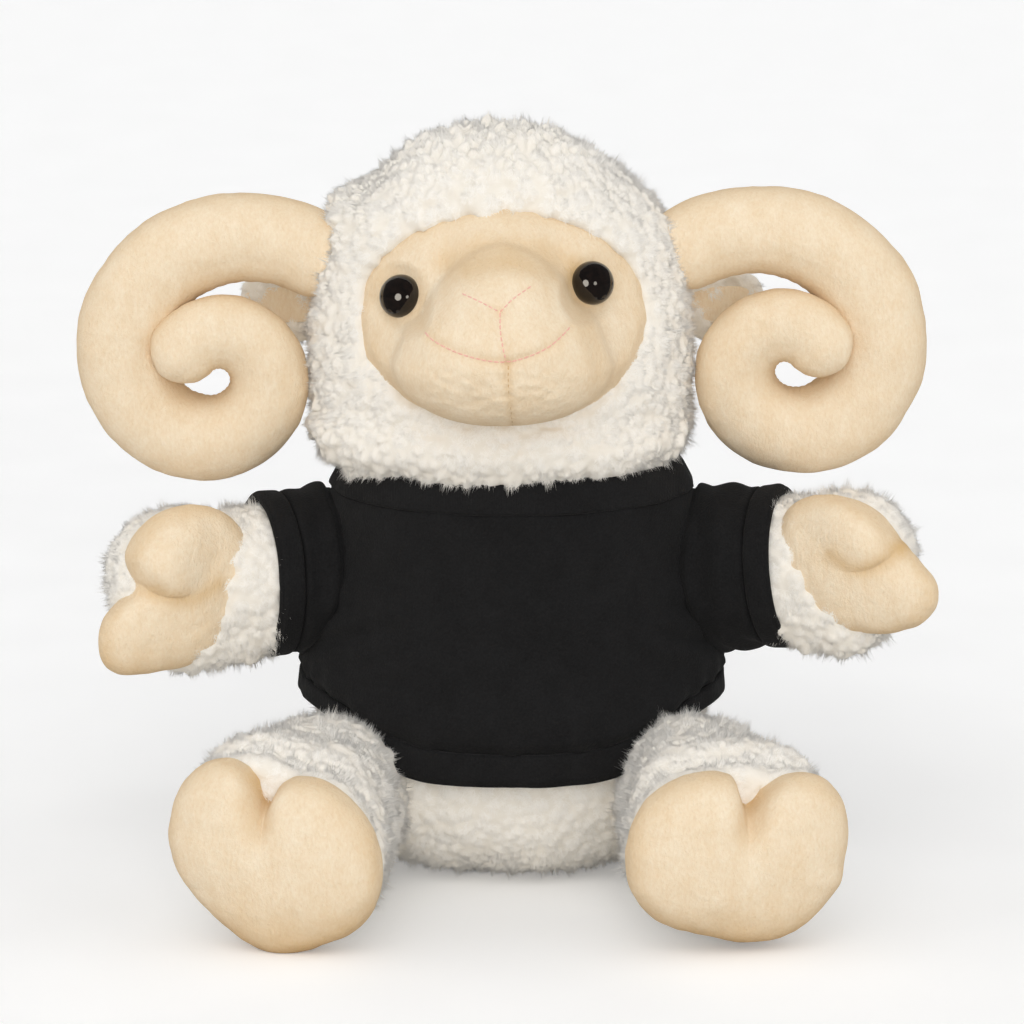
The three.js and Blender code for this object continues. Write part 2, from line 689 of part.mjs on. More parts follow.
// Makes a leg, and returns what it takes up, at rest and as it swings.
function makeLeg(side) {
  const group = sideGroup(side, ram);
  const yaw = -90 + legYaw[side];
  const place = placedGroup(group, [hip.out, -hip.forward, hip.height], [0, 0, yaw]);
  const floorAbove = (inset) => above(inset - hip.height);
  const cover = cut(legSolid(0), legSolid(woolWall, overrun), stuffHole(leg.ball));
  piece(`leg_cover_${side}`, cover.intersect(floorAbove(0)), wool, place);
  const pad = cut(soleSolid(0), soleSolid(plushWall, overrun));
  piece(`sole_pad_${side}`, pad.intersect(floorAbove(0)), plush, place);
  const legFill = legSolid(woolWall + clearance, sole.sink).intersect(floorAbove(woolWall + clearance));
  const padFill = soleSolid(plushWall + clearance, overrun).intersect(floorAbove(plushWall + clearance));
  const front = padFill.intersect(past(leg.length + 2 * clearance));
  piece(`leg_stuffing_${side}`, join(legFill, front), stuffing, place);
  const ball = leg.ball + turningClearance;
  const profile = ballShares.map((share) => [ball * cosine(90 * share), -ball * sine(90 * share)]);
  const thigh = THREE.MathUtils.lerp(ball, sole.radius * soleWidthShare, thighShare);
  const shank = [[ball, 0], [thigh, leg.length / 2], [0, leg.length / 2]];
  const room = turned([[0, -ball], ...profile, ...shank]);
  const tube = turned([[0, 0], ...shank]);
  return {
    rest: carried(room, group, place),
    swung: carried(join(room, tube.rotate([0, -legSwing, 0])), group, place),
  };
}

// Tail

function makeTail() {
  const back = torso.halfDepth * eggShare(torso, tail.height - torso.middle) + tail.gap;
  const place = placedGroup(ram, [0, back, tail.height], [-tail.droop, 0, 0]);
  const tuft = ballSolid(1, smallSteps).scale([tail.halfWidth, tail.halfLength, tail.halfHeight]);
  piece("tail", join(tuft.translate([0, tail.reach, 0]), ballSolid(tail.root, smallSteps)), wool, place);
  return carried(ballSolid(tail.root + turningClearance, smallSteps), place);
}

// T-shirt

// How far the hem rides up at a turn round the body. The front is at -90 degrees.
function hemRiseAt(turn) {
  const fromFront = Math.abs(THREE.MathUtils.euclideanModulo(turn + fullTurn - quarterTurn, fullTurn) - halfTurn);
  const up = THREE.MathUtils.smoothstep(fromFront, hemRise.start, hemRise.full);
  const down = THREE.MathUtils.smoothstep(fromFront, hemRise.fall, hemRise.back);
  return hemRise.height * up * (1 - hemBackShare * down);
}

// A ring of fabric round the body, through levels that each have a share of its width and a height.
function fabricRing(levels, wall, grow) {
  const steps = bodySteps + 4;
  const ringOf = ({ share, heightAt }, inset, over) => {
    const wide = shirt.halfWidth * share + grow - inset;
    const deep = shirt.halfDepth * share + grow - inset;
    return Array.from({ length: steps }, (_, i) => {
      const turn = (fullTurn * i) / steps;
      return new THREE.Vector3(wide * cosine(turn), deep * sine(turn), heightAt(turn) + over);
    });
  };
  const overs = levels.map((_, i) => (i === 0 ? -overrun : i === levels.length - 1 ? overrun : 0));
  const outside = skin(levels.map((level) => ringOf(level, 0, 0)));
  return cut(outside, skin(levels.map((level, i) => ringOf(level, wall, overs[i]))));
}

function makeShirt(armRooms, legRooms) {
  const levels = shirtHeightShares.map((share, i) => {
    const heightAt = (turn) => THREE.MathUtils.lerp(shirt.hemSeam + hemRiseAt(turn), shirt.neckSeam, share);
    return { share: shirtWidthShares[i], heightAt };
  });
  piece("shirt_body", cut(fabricRing(levels, jerseyWall, 0), ...armRooms, ...legRooms), jersey, ram);
  const hemLevels = [-shirt.hemBand - clearance, -clearance].map((drop) => {
    return { share: 1, heightAt: (turn) => shirt.hemSeam + hemRiseAt(turn) + drop };
  });
  piece("shirt_hem", cut(fabricRing(hemLevels, bandWall, shirt.flare), ...legRooms), jersey, ram);
  const collarLevels = [clearance, clearance + shirt.collar].map((rise) => {
    return { share: shirtWidthShares.at(-1), heightAt: () => shirt.neckSeam + rise };
  });
  piece("shirt_collar", cut(fabricRing(collarLevels, bandWall, shirt.flare), ...armRooms), jersey, ram);
}

// Torso

function pouchSolid(grow) {
  const height = pouch.height + grow;
  const egg = {
    halfWidth: pouch.halfWidth + grow,
    halfDepth: pouch.halfDepth + grow,
    middle: woolWall + clearance,
    rise: height,
    drop: height,
    risePower: pouch.power,
    dropPower: pouch.power,
  };
  return eggSolid(egg, 0, limbSteps);
}

function makeTorso(swings) {
  const whole = eggSolid(torso);
  const neckPost = (radius) => post(radius, radius, beyond).translate([-headOffset, 0, torso.middle]);
  const hollow = eggSolid(torso, woolWall).intersect(above(woolWall));
  const cover = cut(whole.intersect(above(0)), hollow, neckPost(neckRadius), ...swings);
  piece("torso_cover", cover, wool, ram);
  const floorAbove = above(woolWall + clearance);
  const fill = join(eggSolid(torso, woolWall + clearance), whole.intersect(neckPost(neckRadius - clearance)));
  const underHead = above(head.middle - head.drop - nodRoom);
  const pocket = pouchSolid(clearance);
  piece("torso_stuffing", cut(fill.intersect(floorAbove), underHead, pocket, ...swings), stuffing, ram);
  const inside = eggSolid(torso, woolWall + clearance).intersect(floorAbove);
  piece("pellet_pouch", pouchSolid(0).intersect(inside), pouchCloth, ram);
}

makeHead();
makeNeckTube();
const arms = sides.map(makeArm);
const legs = sides.map(makeLeg);
const tailRoom = makeTail();
makeShirt(arms.map((one) => one.rest), legs.map((one) => one.rest));
makeTorso([...arms, ...legs].map((one) => one.swung).concat(tailRoom));

export default ram;
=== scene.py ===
"""A small plush ram in a black T-shirt, seated on a pale floor.

Sizes here are millimetres and degrees. They become metres when a mesh is made.
Left and right are the viewer's, so the left side is at -X and the face looks along -Y.
"""
import math

import bpy
import numpy as np
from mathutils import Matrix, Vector
from mathutils.kdtree import KDTree


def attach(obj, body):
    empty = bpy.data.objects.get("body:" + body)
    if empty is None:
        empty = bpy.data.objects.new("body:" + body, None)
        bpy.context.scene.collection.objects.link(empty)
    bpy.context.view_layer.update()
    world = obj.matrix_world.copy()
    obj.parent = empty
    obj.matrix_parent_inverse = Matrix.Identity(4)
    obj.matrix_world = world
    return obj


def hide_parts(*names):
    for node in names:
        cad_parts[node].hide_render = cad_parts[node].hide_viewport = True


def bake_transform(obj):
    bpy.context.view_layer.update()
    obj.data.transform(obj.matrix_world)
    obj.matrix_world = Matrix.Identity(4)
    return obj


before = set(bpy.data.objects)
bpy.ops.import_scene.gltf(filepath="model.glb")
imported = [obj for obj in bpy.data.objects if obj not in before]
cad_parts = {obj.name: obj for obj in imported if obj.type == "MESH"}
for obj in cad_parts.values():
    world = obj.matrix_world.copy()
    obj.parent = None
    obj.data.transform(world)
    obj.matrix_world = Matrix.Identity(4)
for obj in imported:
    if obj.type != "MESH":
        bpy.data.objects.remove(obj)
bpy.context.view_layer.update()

MM = 0.001
SIDES = {"left": -1, "right": 1}

# ---- Camera

CAMERA_RISE = 12
CAMERA_DISTANCE = 1100
AIM = (0, 0, 87.5)
LENS = 154.69

camera = bpy.data.objects.new("camera", bpy.data.cameras.new("camera"))
bpy.context.scene.collection.objects.link(camera)
rise = math.radians(CAMERA_RISE)
away = Vector((0, -math.cos(rise), math.sin(rise)))
camera.location = (Vector(AIM) + away * CAMERA_DISTANCE) * MM
camera.rotation_euler = (math.radians(90 - CAMERA_RISE), 0, 0)
camera.data.lens = LENS
camera.data.sensor_width = 36
camera.data.clip_start, camera.data.clip_end = 50 * MM, 50000 * MM
bpy.context.scene.camera = camera

# ---- Sizes shared with the CAD part

HEAD = dict(wide=46.5, deep=41, middle=126, rise=56, drop=30, rise_power=2.5, drop_power=3)
HEAD_X = -2.2
TORSO = dict(wide=49, deep=42.5, middle=34, rise=61.6, drop=34.5, rise_power=3.1, drop_power=3.6)
FACE = dict(wide=35.2, high=25.6, middle=143)
MUZZLE = dict(wide=24, deep=24, middle=136.5, rise=24.5, drop=18.5, rise_power=1.7, drop_power=2.4)
MUZZLE_ROOT = 36
SHOULDER = dict(out=48, forward=2, height=73.5, yaw=20)
ARM = dict(ball=18.8, wrist=17, wrist_at=28, high=19.4, deep=16.6, length=59)
ARM_LIFT = {"left": 0, "right": 7}
HIP = dict(out=43, forward=27.5, height=22.6)
LEG = dict(ball=19, length=51)
LEG_YAW = {"left": 13, "right": 10}
HORN = dict(
    root_radius=37.6, end_radius=10.2, root_angle=129.6, sweep=450, easing=2.2,
    forward=7.5, gap=3, half=10.5, full=11.6, tip=8.7, depth_share=0.86,
)
HORN_HEIGHT = {"left": 152.6, "right": 154.4}
SHIRT = dict(wide=52.5, deep=46.5, hem_seam=37, neck_seam=95, collar=7.6)

# ---- Mesh helpers


def smooth_noise(points, size, seed):
    """Smooth random values from -1 to 1 at each point, in lumps of about this size."""
    table = np.random.default_rng(seed).uniform(-1, 1, (32, 32, 32))
    place = np.asarray(points, float) / size + 500
    cell = np.floor(place).astype(int)
    part = place - cell
    part = part * part * (3 - 2 * part)
    total = np.zeros(place.shape[:-1])
    for corner in np.ndindex(2, 2, 2):
        weight = np.prod(np.where(corner, part, 1 - part), axis=-1)
        index = (cell + corner) % 32
        total += weight * table[index[..., 0], index[..., 1], index[..., 2]]
    return total


def unit(vectors):
    length = np.linalg.norm(vectors, axis=-1, keepdims=True)
    return vectors / np.maximum(length, 1e-9)


def smoothstep(low, high, value):
    share = np.clip((value - low) / (high - low), 0, 1)
    return share * share * (3 - 2 * share)


def turns(steps):
    """Turns round a ring, evenly spread, in degrees."""
    return np.arange(steps) * 360 / steps


def evened(padded, reach, width):
    """A row of values, each evened out with its neighbours. It loses reach values at each end."""
    kernel = np.exp(-((np.arange(-reach, reach + 1) / width) ** 2))
    return np.convolve(padded, kernel / kernel.sum(), "valid")


def upright_ring(x, across, up, turn):
    """Points round the X axis, at turns in radians."""
    return np.stack([x, across * np.cos(turn), up * np.sin(turn)], -1)


class Frame:
    """Where a limb's own frame lies: a turn, then a move to its root, then a mirror for the left side."""

    def __init__(self, turn, root, side=None):
        self.turn, self.root = np.asarray(turn, float), np.asarray(root, float)
        self.mirror = np.array([SIDES[side] if side else 1, 1, 1])

    def out(self, points):
        return (points @ self.turn + self.root) * self.mirror

    def back(self, points):
        return (points * self.mirror - self.root) @ self.turn.T

    def way(self, vectors):
        return (vectors @ self.turn) * self.mirror


def turn_matrix(axis, degrees):
    """A rotation about a main axis, for row vectors: points @ matrix."""
    c, s = math.cos(math.radians(degrees)), math.sin(math.radians(degrees))
    rows = {
        "x": [[1, 0, 0], [0, c, s], [0, -s, c]],
        "y": [[c, 0, -s], [0, 1, 0], [s, 0, c]],
        "z": [[c, s, 0], [-s, c, 0], [0, 0, 1]],
    }
    return np.array(rows[axis])


class Skin:
    """A closed surface through rings of points: rings[i, j] is point j of ring i."""

    def __init__(self, rings, ends="closed"):
        rings = np.asarray(rings, float)
        count, steps = rings.shape[:2]
        points = rings.reshape(-1, 3)
        i = np.arange(count if ends == "joined" else count - 1)[:, None]
        j = np.arange(steps)[None]
        over, right = (i + 1) % count, (j + 1) % steps
        corners = [i * steps + j, i * steps + right, over * steps + right, over * steps + j]
        self.quads = np.stack([np.broadcast_to(c, (len(i), steps)) for c in corners], -1).reshape(-1, 4)
        self.fans = np.zeros((0, 3), int)
        if ends == "closed":
            middles = [rings[0].mean(0), rings[-1].mean(0)]
            at, turn = np.arange(steps), (np.arange(steps) + 1) % steps
            first, last = len(points), len(points) + 1
            base = (count - 1) * steps
            start = np.stack([np.full(steps, first), turn, at], 1)
            finish = np.stack([np.full(steps, last), base + at, base + turn], 1)
            self.fans = np.concatenate([start, finish])
            points = np.concatenate([points, middles])
        self.points = points
        self.tone = None
        self.face_outward()

    def face_outward(self):
        if self.volume() < 0:
            self.quads, self.fans = self.quads[:, ::-1], self.fans[:, ::-1]

    def paint(self, tone):
        """Gives the rings' points their tones. The middles of the closed ends get none."""
        self.tone = np.append(np.minimum(tone, 1).reshape(-1), [0, 0])

    def triangles(self):
        q = self.quads
        return np.concatenate([q[:, [0, 1, 2]], q[:, [0, 2, 3]], self.fans])

    def volume(self):
        a, b, c = (self.points[self.triangles()[:, k]] for k in range(3))
        return float((a * np.cross(b, c)).sum())

    def normals(self):
        tris = self.triangles()
        a, b, c = (self.points[tris[:, k]] for k in range(3))
        face = np.cross(b - a, c - a)
        out = np.zeros_like(self.points)
        for k in range(3):
            np.add.at(out, tris[:, k], face)
        return unit(out)

    def push(self, amount):
        """Moves each point along its normal by its own amount."""
        self.points = self.points + self.normals() * np.asarray(amount)[:, None]
        return self

    def place(self, move):
        """Carries the surface by a function of its points, and turns it outward again if that mirrors it."""
        self.points = move(self.points)
        self.face_outward()
        return self

    def flatten_under(self, height):
        self.points[:, 2] = np.maximum(self.points[:, 2], height)
        return self


def link_object(name, data):
    obj = bpy.data.objects.new(name, data)
    bpy.context.scene.collection.objects.link(obj)
    return obj


def give_tone(mesh, tone):
    mesh.attributes.new("tone", "FLOAT", "POINT").data.foreach_set("value", tone.astype(np.float32))


def add_object(name, mesh, body, stands_for=()):
    obj = link_object(name, mesh)
    if isinstance(body, str):
        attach(obj, body)
    if stands_for:
        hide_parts(*stands_for)
    return obj


def add_skin(name, skin, material, body, stands_for=()):
    mesh = bpy.data.meshes.new(name)
    faces = [tuple(q) for q in skin.quads.tolist()] + [tuple(f) for f in skin.fans.tolist()]
    mesh.from_pydata((skin.points * MM).tolist(), [], faces)
    mesh.shade_smooth()
    mesh.materials.append(material)
    if skin.tone is not None:
        give_tone(mesh, skin.tone)
    return add_object(name, mesh, body, stands_for)


def blend_between(obj, parent, child, start, end):
    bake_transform(obj)


# ---- Materials


class Finish:
    """A Principled material with helpers for its nodes. Pattern sizes are in millimetres."""

    def __init__(self, name, roughness, sheen=0.0, specular=0.3):
        self.material = bpy.data.materials.new(name)
        self.material.use_nodes = True
        self.tree = self.material.node_tree
        self.shader = self.tree.nodes["Principled BSDF"]
        self.set(Roughness=roughness, Sheen_Weight=sheen, Sheen_Roughness=0.5, Specular_IOR_Level=specular)
        self.place = self.node("TexCoord").outputs["Object"]

    def set(self, **values):
        for key, value in values.items():
            self.shader.inputs[key.replace("_", " ")].default_value = value

    def node(self, kind, **inputs):
        made = self.tree.nodes.new("ShaderNode" + kind)
        for key, value in inputs.items():
            self.feed(made.inputs[key.replace("_", " ")], value)
        return made

    def feed(self, socket, value):
        if isinstance(value, bpy.types.NodeSocket):
            self.tree.links.new(value, socket)
        else:
            socket.default_value = value

    def stretched(self, x, y, z):
        node = self.node("Mapping", Vector=self.place)
        node.inputs["Scale"].default_value = (x, y, z)
        return node.outputs[0]

    def noise(self, size, detail=2.0, where=None, roughness=0.55):
        made = self.node("TexNoise", Scale=1 / (size * MM), Detail=detail, Roughness=roughness)
        self.feed(made.inputs["Vector"], where or self.place)
        return made.outputs[0]

    def attribute(self, name):
        made = self.tree.nodes.new("ShaderNodeAttribute")
        made.attribute_name = name
        return made.outputs["Fac"]

    def times(self, value, factor):
        made = self.tree.nodes.new("ShaderNodeMath")
        made.operation = "MULTIPLY"
        self.feed(made.inputs[0], value)
        self.feed(made.inputs[1], factor)
        return made.outputs[0]

    def ramp(self, value, *stops):
        made = self.node("ValToRGB", Fac=value)
        ramp = made.color_ramp
        while len(ramp.elements) < len(stops):
            ramp.elements.new(0.5)
        for element, (at, colour) in zip(ramp.elements, stops):
            element.position = at
            element.color = (*colour, 1)
        return made.outputs[0]

    def mix(self, share, a, b):
        made = self.tree.nodes.new("ShaderNodeMix")
        made.data_type = "RGBA"
        for index, value in ((0, share), (6, a), (7, b)):
            self.feed(made.inputs[index], (*value, 1) if isinstance(value, tuple) else value)
        return made.outputs[2]

    def bump(self, height, depth, strength=1.0):
        made = self.node("Bump", Height=height, Distance=depth * MM, Strength=strength)
        earlier = self.shader.inputs["Normal"]
        if earlier.is_linked:
            self.tree.links.new(earlier.links[0].from_socket, made.inputs["Normal"])
        self.tree.links.new(made.outputs[0], earlier)

    def colour(self, value):
        self.feed(self.shader.inputs["Base Color"], value)
        return self.material


def srgb(*levels):
    """A colour written as 0 to 255 levels, made linear."""
    shares = [level / 255 for level in levels]
    return tuple(s / 12.92 if s <= 0.04045 else ((s + 0.055) / 1.055) ** 2.4 for s in shares)


def fleece(name, fine=None, depth=0.0):
    """Pile. Each vertex's tone says how light it is, from the roots to the tips: the roots and the hollows between
    locks are darker as painted shade, and the tone also differs at random from lock to lock.
    """
    f = Finish(name, 0.95, sheen=0.3, specular=0.1)
    base = f.ramp(f.attribute("tone"), (0.0, srgb(232, 225, 212)), (0.5, srgb(246, 241, 232)),
                  (1.0, srgb(252, 249, 243)))
    warm = f.mix(f.times(f.noise(12, 2.0), 0.22), base, srgb(240, 229, 210))
    if fine:
        f.bump(f.noise(fine, 3.0, roughness=0.7), depth)
    return f.colour(warm)


def plush():
    """Short cream pile. Each vertex's tone says how deep in a fold, or how near an edge, its pile lies, and there the
    pile is painted darker and warmer as painted shade.
    """
    f = Finish("plush", 0.9, sheen=0.06, specular=0.12)
    brushed = f.noise(5.0, 2.0, where=f.stretched(1, 1, 0.45))
    pile = f.noise(0.7, 3.0, where=f.stretched(1, 1, 0.5), roughness=0.7)
    base = f.ramp(brushed, (0.3, srgb(240, 216, 182)), (0.7, srgb(247, 229, 201)))
    fibre = f.ramp(pile, (0.3, srgb(228, 198, 156)), (0.65, srgb(251, 238, 216)))
    f.bump(pile, 0.35)
    f.bump(f.noise(0.28, 1.0), 0.12)
    # Painted shade: where the tone is high, the pile is mixed toward a dark tan.
    return f.colour(f.mix(f.times(f.attribute("tone"), 0.85), f.mix(0.3, base, fibre), srgb(212, 172, 112)))


def jersey(name, pitch, along):
    """T-shirt knit. The ribs run up the cloth and are pitch wide. along stretches the pattern."""
    f = Finish(name, 0.9, sheen=0.04, specular=0.1)
    ribs = f.node("TexWave", Scale=1 / (pitch * MM), Distortion=1.2, Detail=1.0)
    ribs.bands_direction = "X"
    f.feed(ribs.inputs["Vector"], f.stretched(*along))
    knit = f.noise(0.5, 2.0)
    lint = f.noise(9.0, 4.0, roughness=0.7)
    f.bump(ribs.outputs["Fac"], 0.06, 0.6)
    f.bump(knit, 0.16)
    tone = f.mix(0.45, f.ramp(lint, (0.3, srgb(21, 21, 22)), (0.75, srgb(31, 31, 32))),
                 f.ramp(knit, (0.3, srgb(16, 16, 17)), (0.7, srgb(34, 34, 35))))
    return f.colour(tone)


def thread(name, dark, light):
    f = Finish(name, 0.55, sheen=0.2, specular=0.4)
    twist = f.noise(0.35, 2.0, where=f.stretched(1, 1, 2.2))
    f.bump(twist, 0.1)
    return f.colour(f.ramp(twist, (0.3, dark), (0.7, light)))


def eye_plastic():
    f = Finish("eye_plastic", 0.08, specular=0.4)
    f.set(Coat_Weight=0.25, Coat_Roughness=0.03)
    f.bump(f.noise(2.5, 2.0), 0.02)
    return f.colour(f.ramp(f.noise(1.2, 3.0), (0.35, srgb(13, 9, 8)), (0.7, srgb(26, 18, 15))))


FIBRE = fleece("fleece_fibre")
BACKING = fleece("fleece_backing", 0.45, 0.1)
PLUSH = plush()
JERSEY = jersey("jersey", 0.9, (1, 1, 0.15))
RIB = jersey("jersey_band", 1.3, (1, 1, 0.08))
PINK = thread("thread_pink", srgb(234, 168, 152), srgb(247, 200, 186))
TAN = thread("thread_tan", srgb(190, 148, 96), srgb(218, 180, 128))
EYE = eye_plastic()

# ---- Fleece


def scatter(skin, spacing, rng):
    """Evenly spread places on a skin, with their normals."""
    tris, points, normals = skin.triangles(), skin.points, skin.normals()
    a, b, c = (points[tris[:, k]] for k in range(3))
    area = np.linalg.norm(np.cross(b - a, c - a), axis=1) / 2
    count = int(area.sum() / spacing**2 * 6)
    pick = rng.choice(len(tris), count, p=area / area.sum())
    u, v = rng.random((2, count))
    over = u + v > 1
    u[over], v[over] = 1 - u[over], 1 - v[over]
    w = np.stack([1 - u - v, u, v], 1)
    place = np.einsum("ik,ikj->ij", w, points[tris[pick]])
    facing = unit(np.einsum("ik,ikj->ij", w, normals[tris[pick]]))
    cell = np.floor(place / spacing).astype(int)
    _, chosen = np.unique(cell, axis=0, return_index=True)
    return place[chosen], facing[chosen]


def patches(points, places, heights):
    """For each point: the place nearest to it, how far into that place's patch it is (0 on its border, 1 at
    its middle), and the places' heights, evened out over the five nearest."""
    tree = KDTree(len(places))
    for i, place in enumerate(places):
        tree.insert(place, i)
    tree.balance()
    index, away = np.zeros((len(points), 6), int), np.zeros((len(points), 6))
    for i, point in enumerate(points):
        found = tree.find_n(point, 6)
        index[i], away[i] = [f[1] for f in found], [f[2] for f in found]
    share = (away[:, 1] - away[:, 0]) / (away[:, 1] + away[:, 0])
    weight = (1 - away[:, :5] / away[:, 5:]) ** 2 + 1e-9
    return index[:, 0], share, (weight * heights[index[:, :5]]).sum(1) / weight.sum(1)


# How far a base lies inside its CAD cover, to leave room for the pile.
UNDER_PILE = 2.6
# Shares of the pile's height: how much of it is closed, how much more stands up in each lock, and how far
# the hooked tip of a lock carries its middle.
CLOSED, LOCK, HOOK = 0.58, 0.2, 0.3
# How far the strands of a lock reach from its middle, as a share of the locks' spacing.
LOCK_REACH = 0.62
STRAND_WIDTH = 0.075
# The pile is split into meshes of at most this many strands.
MOST_STRANDS = 45000


class Tufts:
    """Locks of pile on a skin. Each stands on its own patch and leans a little to one side."""

    def __init__(self, skin, seed, spacing, height, keep, lean):
        self.rng = rng = np.random.default_rng(seed)
        self.spacing = spacing
        place, facing = scatter(skin, spacing, rng)
        count = len(place)
        swirl = np.stack([smooth_noise(place, 10, seed + k) for k in (1, 2, 3)], 1)
        way = np.cross(facing, swirl) * 1.1 + rng.normal(size=(count, 3)) * 0.5 + lean(place)
        way = way - facing * (way * facing).sum(1, keepdims=True)
        tall = height(place) if callable(height) else height
        tall = tall * rng.uniform(0.78, 1.2, count) * (1 + 0.22 * smooth_noise(place, 6, seed + 4))
        self.place, self.facing, self.way = place, facing, unit(way)
        self.tall = np.where(keep(place), tall, 0)
        self.hook = self.tall * rng.uniform(0.15, 0.5, count)
        self.light = rng.uniform(-0.05, 0.05, count)
        self.level = patches(place, place, self.tall)[2]
        self.stray = 1 + 1.6 * rng.random(count) ** 4

    def swell(self, skin):
        """Raises the skin into the locks and returns each point's tone. The tone is painted shade: it is darker
        toward each lock's border, in the hollows between locks, with a random shift from lock to lock.
        """
        index, share, level = patches(skin.points, self.place, self.tall)
        dome = share * (2 - share)
        out = skin.normals() * (CLOSED * level)[:, None]
        out += self.facing[index] * (LOCK * self.tall[index] * dome)[:, None]
        skin.points = skin.points + out + self.way[index] * (HOOK * self.hook[index] * dome**2)[:, None]
        return np.clip(0.25 + 0.2 * dome + self.light[index], 0, 1)

    def strands(self, per):
        """Fibres over each lock. Most lie toward its border, and some stand up and draw together at their tips."""
        live = np.repeat(np.nonzero(self.tall > 0)[0], per)
        rng, count = self.rng, len(live)
        facing, way, reach = self.facing[live], self.way[live], self.spacing * LOCK_REACH
        tall, level = self.tall[live, None], self.level[live, None]
        across = unit(np.cross(facing, rng.normal(size=(count, 3))))
        start = across * np.sqrt(rng.random((count, 1))) * 0.95 * reach
        run = across * 0.45 + way * 0.7 + np.cross(facing, rng.normal(size=(count, 3))) * 0.45
        stand = rng.random((count, 1)) ** 1.6
        run = unit(run - facing * (run * facing).sum(1, keepdims=True)) * rng.uniform(1.1, 2.0, (count, 1))
        run = run * (1 - 0.65 * stand) - start * 0.5 * stand
        rise = 0.2 + rng.uniform(1.0, 1.7, (count, 1)) * stand * self.stray[live, None]
        ends = []
        for part in (0, 1):
            off = start + run * part
            ring = np.minimum(1, np.linalg.norm(off, axis=1, keepdims=True) / reach)
            high = CLOSED * level + LOCK * tall * (1 - ring**2) + rise * part
            ends.append(self.place[live] + off + way * (HOOK * self.hook[live, None] * (1 - ring**2)) + facing * high)
        tone = 0.78 + self.light[live] + rng.uniform(-0.12, 0.12, count)
        return np.stack(ends, 1), tone, unit(facing + 0.3 * across)


def strand_mesh(name, paths, tones, facing, body):
    """Thin tapered strands, each a closed three-sided spike with its broad side out, from paths[i, 0] to paths[i, 1].
    Their normals follow the tuft under them, so that the pile is shaded as one soft surface."""
    count = len(paths)
    along = unit(paths[:, 1] - paths[:, 0])
    side = unit(np.cross(facing, along))
    spokes = np.stack([side, -side, -0.6 * np.cross(along, side)], 1)
    points = np.concatenate([paths[:, :1] + spokes * STRAND_WIDTH, paths[:, 1:]], axis=1)
    faces = np.array([(0, 2, 1), (0, 1, 3), (1, 2, 3), (2, 0, 3)])
    places = np.array([((0, 0), (1, 0), (0.5, 0.1)), ((0, 0.12), (1, 0.12), (0.5, 0.4)),
                       ((0, 0.42), (1, 0.42), (0.5, 0.7)), ((0, 0.72), (1, 0.72), (0.5, 1))])
    mesh = bpy.data.meshes.new(name)
    corners = (faces[None] + 4 * np.arange(count)[:, None, None]).reshape(-1)
    mesh.vertices.add(count * 4)
    mesh.vertices.foreach_set("co", (points.reshape(-1) * MM).astype(np.float32))
    mesh.loops.add(len(corners))
    mesh.loops.foreach_set("vertex_index", corners.astype(np.int32))
    mesh.polygons.add(count * len(faces))
    mesh.polygons.foreach_set("loop_start", np.arange(0, len(corners), 3, dtype=np.int32))
    mesh.update(calc_edges=True)
    columns = math.ceil(math.sqrt(count))
    cell = np.stack([np.arange(count) % columns, np.arange(count) // columns], 1)
    uv = (cell[:, None, None] + 0.1 + 0.8 * places[None]) / columns
    mesh.uv_layers.new(name="OFBake").uv.foreach_set("vector", uv.reshape(-1).astype(np.float32))
    # Painted shade: each strand is painted darker at its root and lighter at its tip.
    tone = tones[:, None] + np.array([-0.1, -0.1, -0.1, 0.15])
    give_tone(mesh, np.clip(tone, 0, 1).reshape(-1))
    mesh.shade_smooth()
    normals = unit(facing[:, None] + 0.3 * spokes)
    normals = np.concatenate([normals, facing[:, None]], axis=1).reshape(-1, 3)
    mesh.normals_split_custom_set_from_vertices(normals.tolist())
    mesh.materials.append(FIBRE)
    strands = add_object(name, mesh, body)
    # Real fibres are so thin that they hardly shade one another.
    strands.visible_shadow = strands.visible_diffuse = False


def everywhere(place):
    return np.ones(len(place), bool)


def steadily(way):
    """A lean that is the same all over a skin."""
    return lambda place: np.broadcast_to(way, place.shape)


def add_wool(name, skin, body, seed, stands_for, height=3.0, spacing=2.9, keep=everywhere,
             lean=steadily([0, 0, -0.5]), per_tuft=68):
    """A stuffed piece with its pile: the base is raised into tufts, and strands lie over them."""
    skin.push(0.6 * smooth_noise(skin.points, 7, seed))
    tufts = Tufts(skin, seed, spacing, height, keep, lean)
    skin.tone = tufts.swell(skin)
    skin.push(0.05 * smooth_noise(skin.points, 0.9, seed + 5)).flatten_under(0.3)
    add_skin(f"{name}_wool", skin, BACKING, body, stands_for)
    paths, tones, ways = tufts.strands(per_tuft)
    paths[..., 2] = np.maximum(paths[..., 2], 0.15)
    for part, start in enumerate(range(0, len(paths), MOST_STRANDS)):
        chosen = slice(start, start + MOST_STRANDS)
        strand_mesh(f"{name}_fleece_{part + 1}", paths[chosen], tones[chosen], ways[chosen], body)


# ---- Eggs: head and torso


def reach_and_power(egg, height):
    """An egg's reach and its curve's power, which differ above and below its middle."""
    return (np.where(height > 0, egg[f"rise{kind}"], egg[f"drop{kind}"]) for kind in ("", "_power"))


def egg_share(egg, height):
    """How wide an egg is at a height over its middle, as a share of its widest."""
    height = np.asarray(height, float)
    reach, power = reach_and_power(egg, height)
    return np.maximum(0, 1 - np.abs(height / reach) ** power) ** (1 / power)


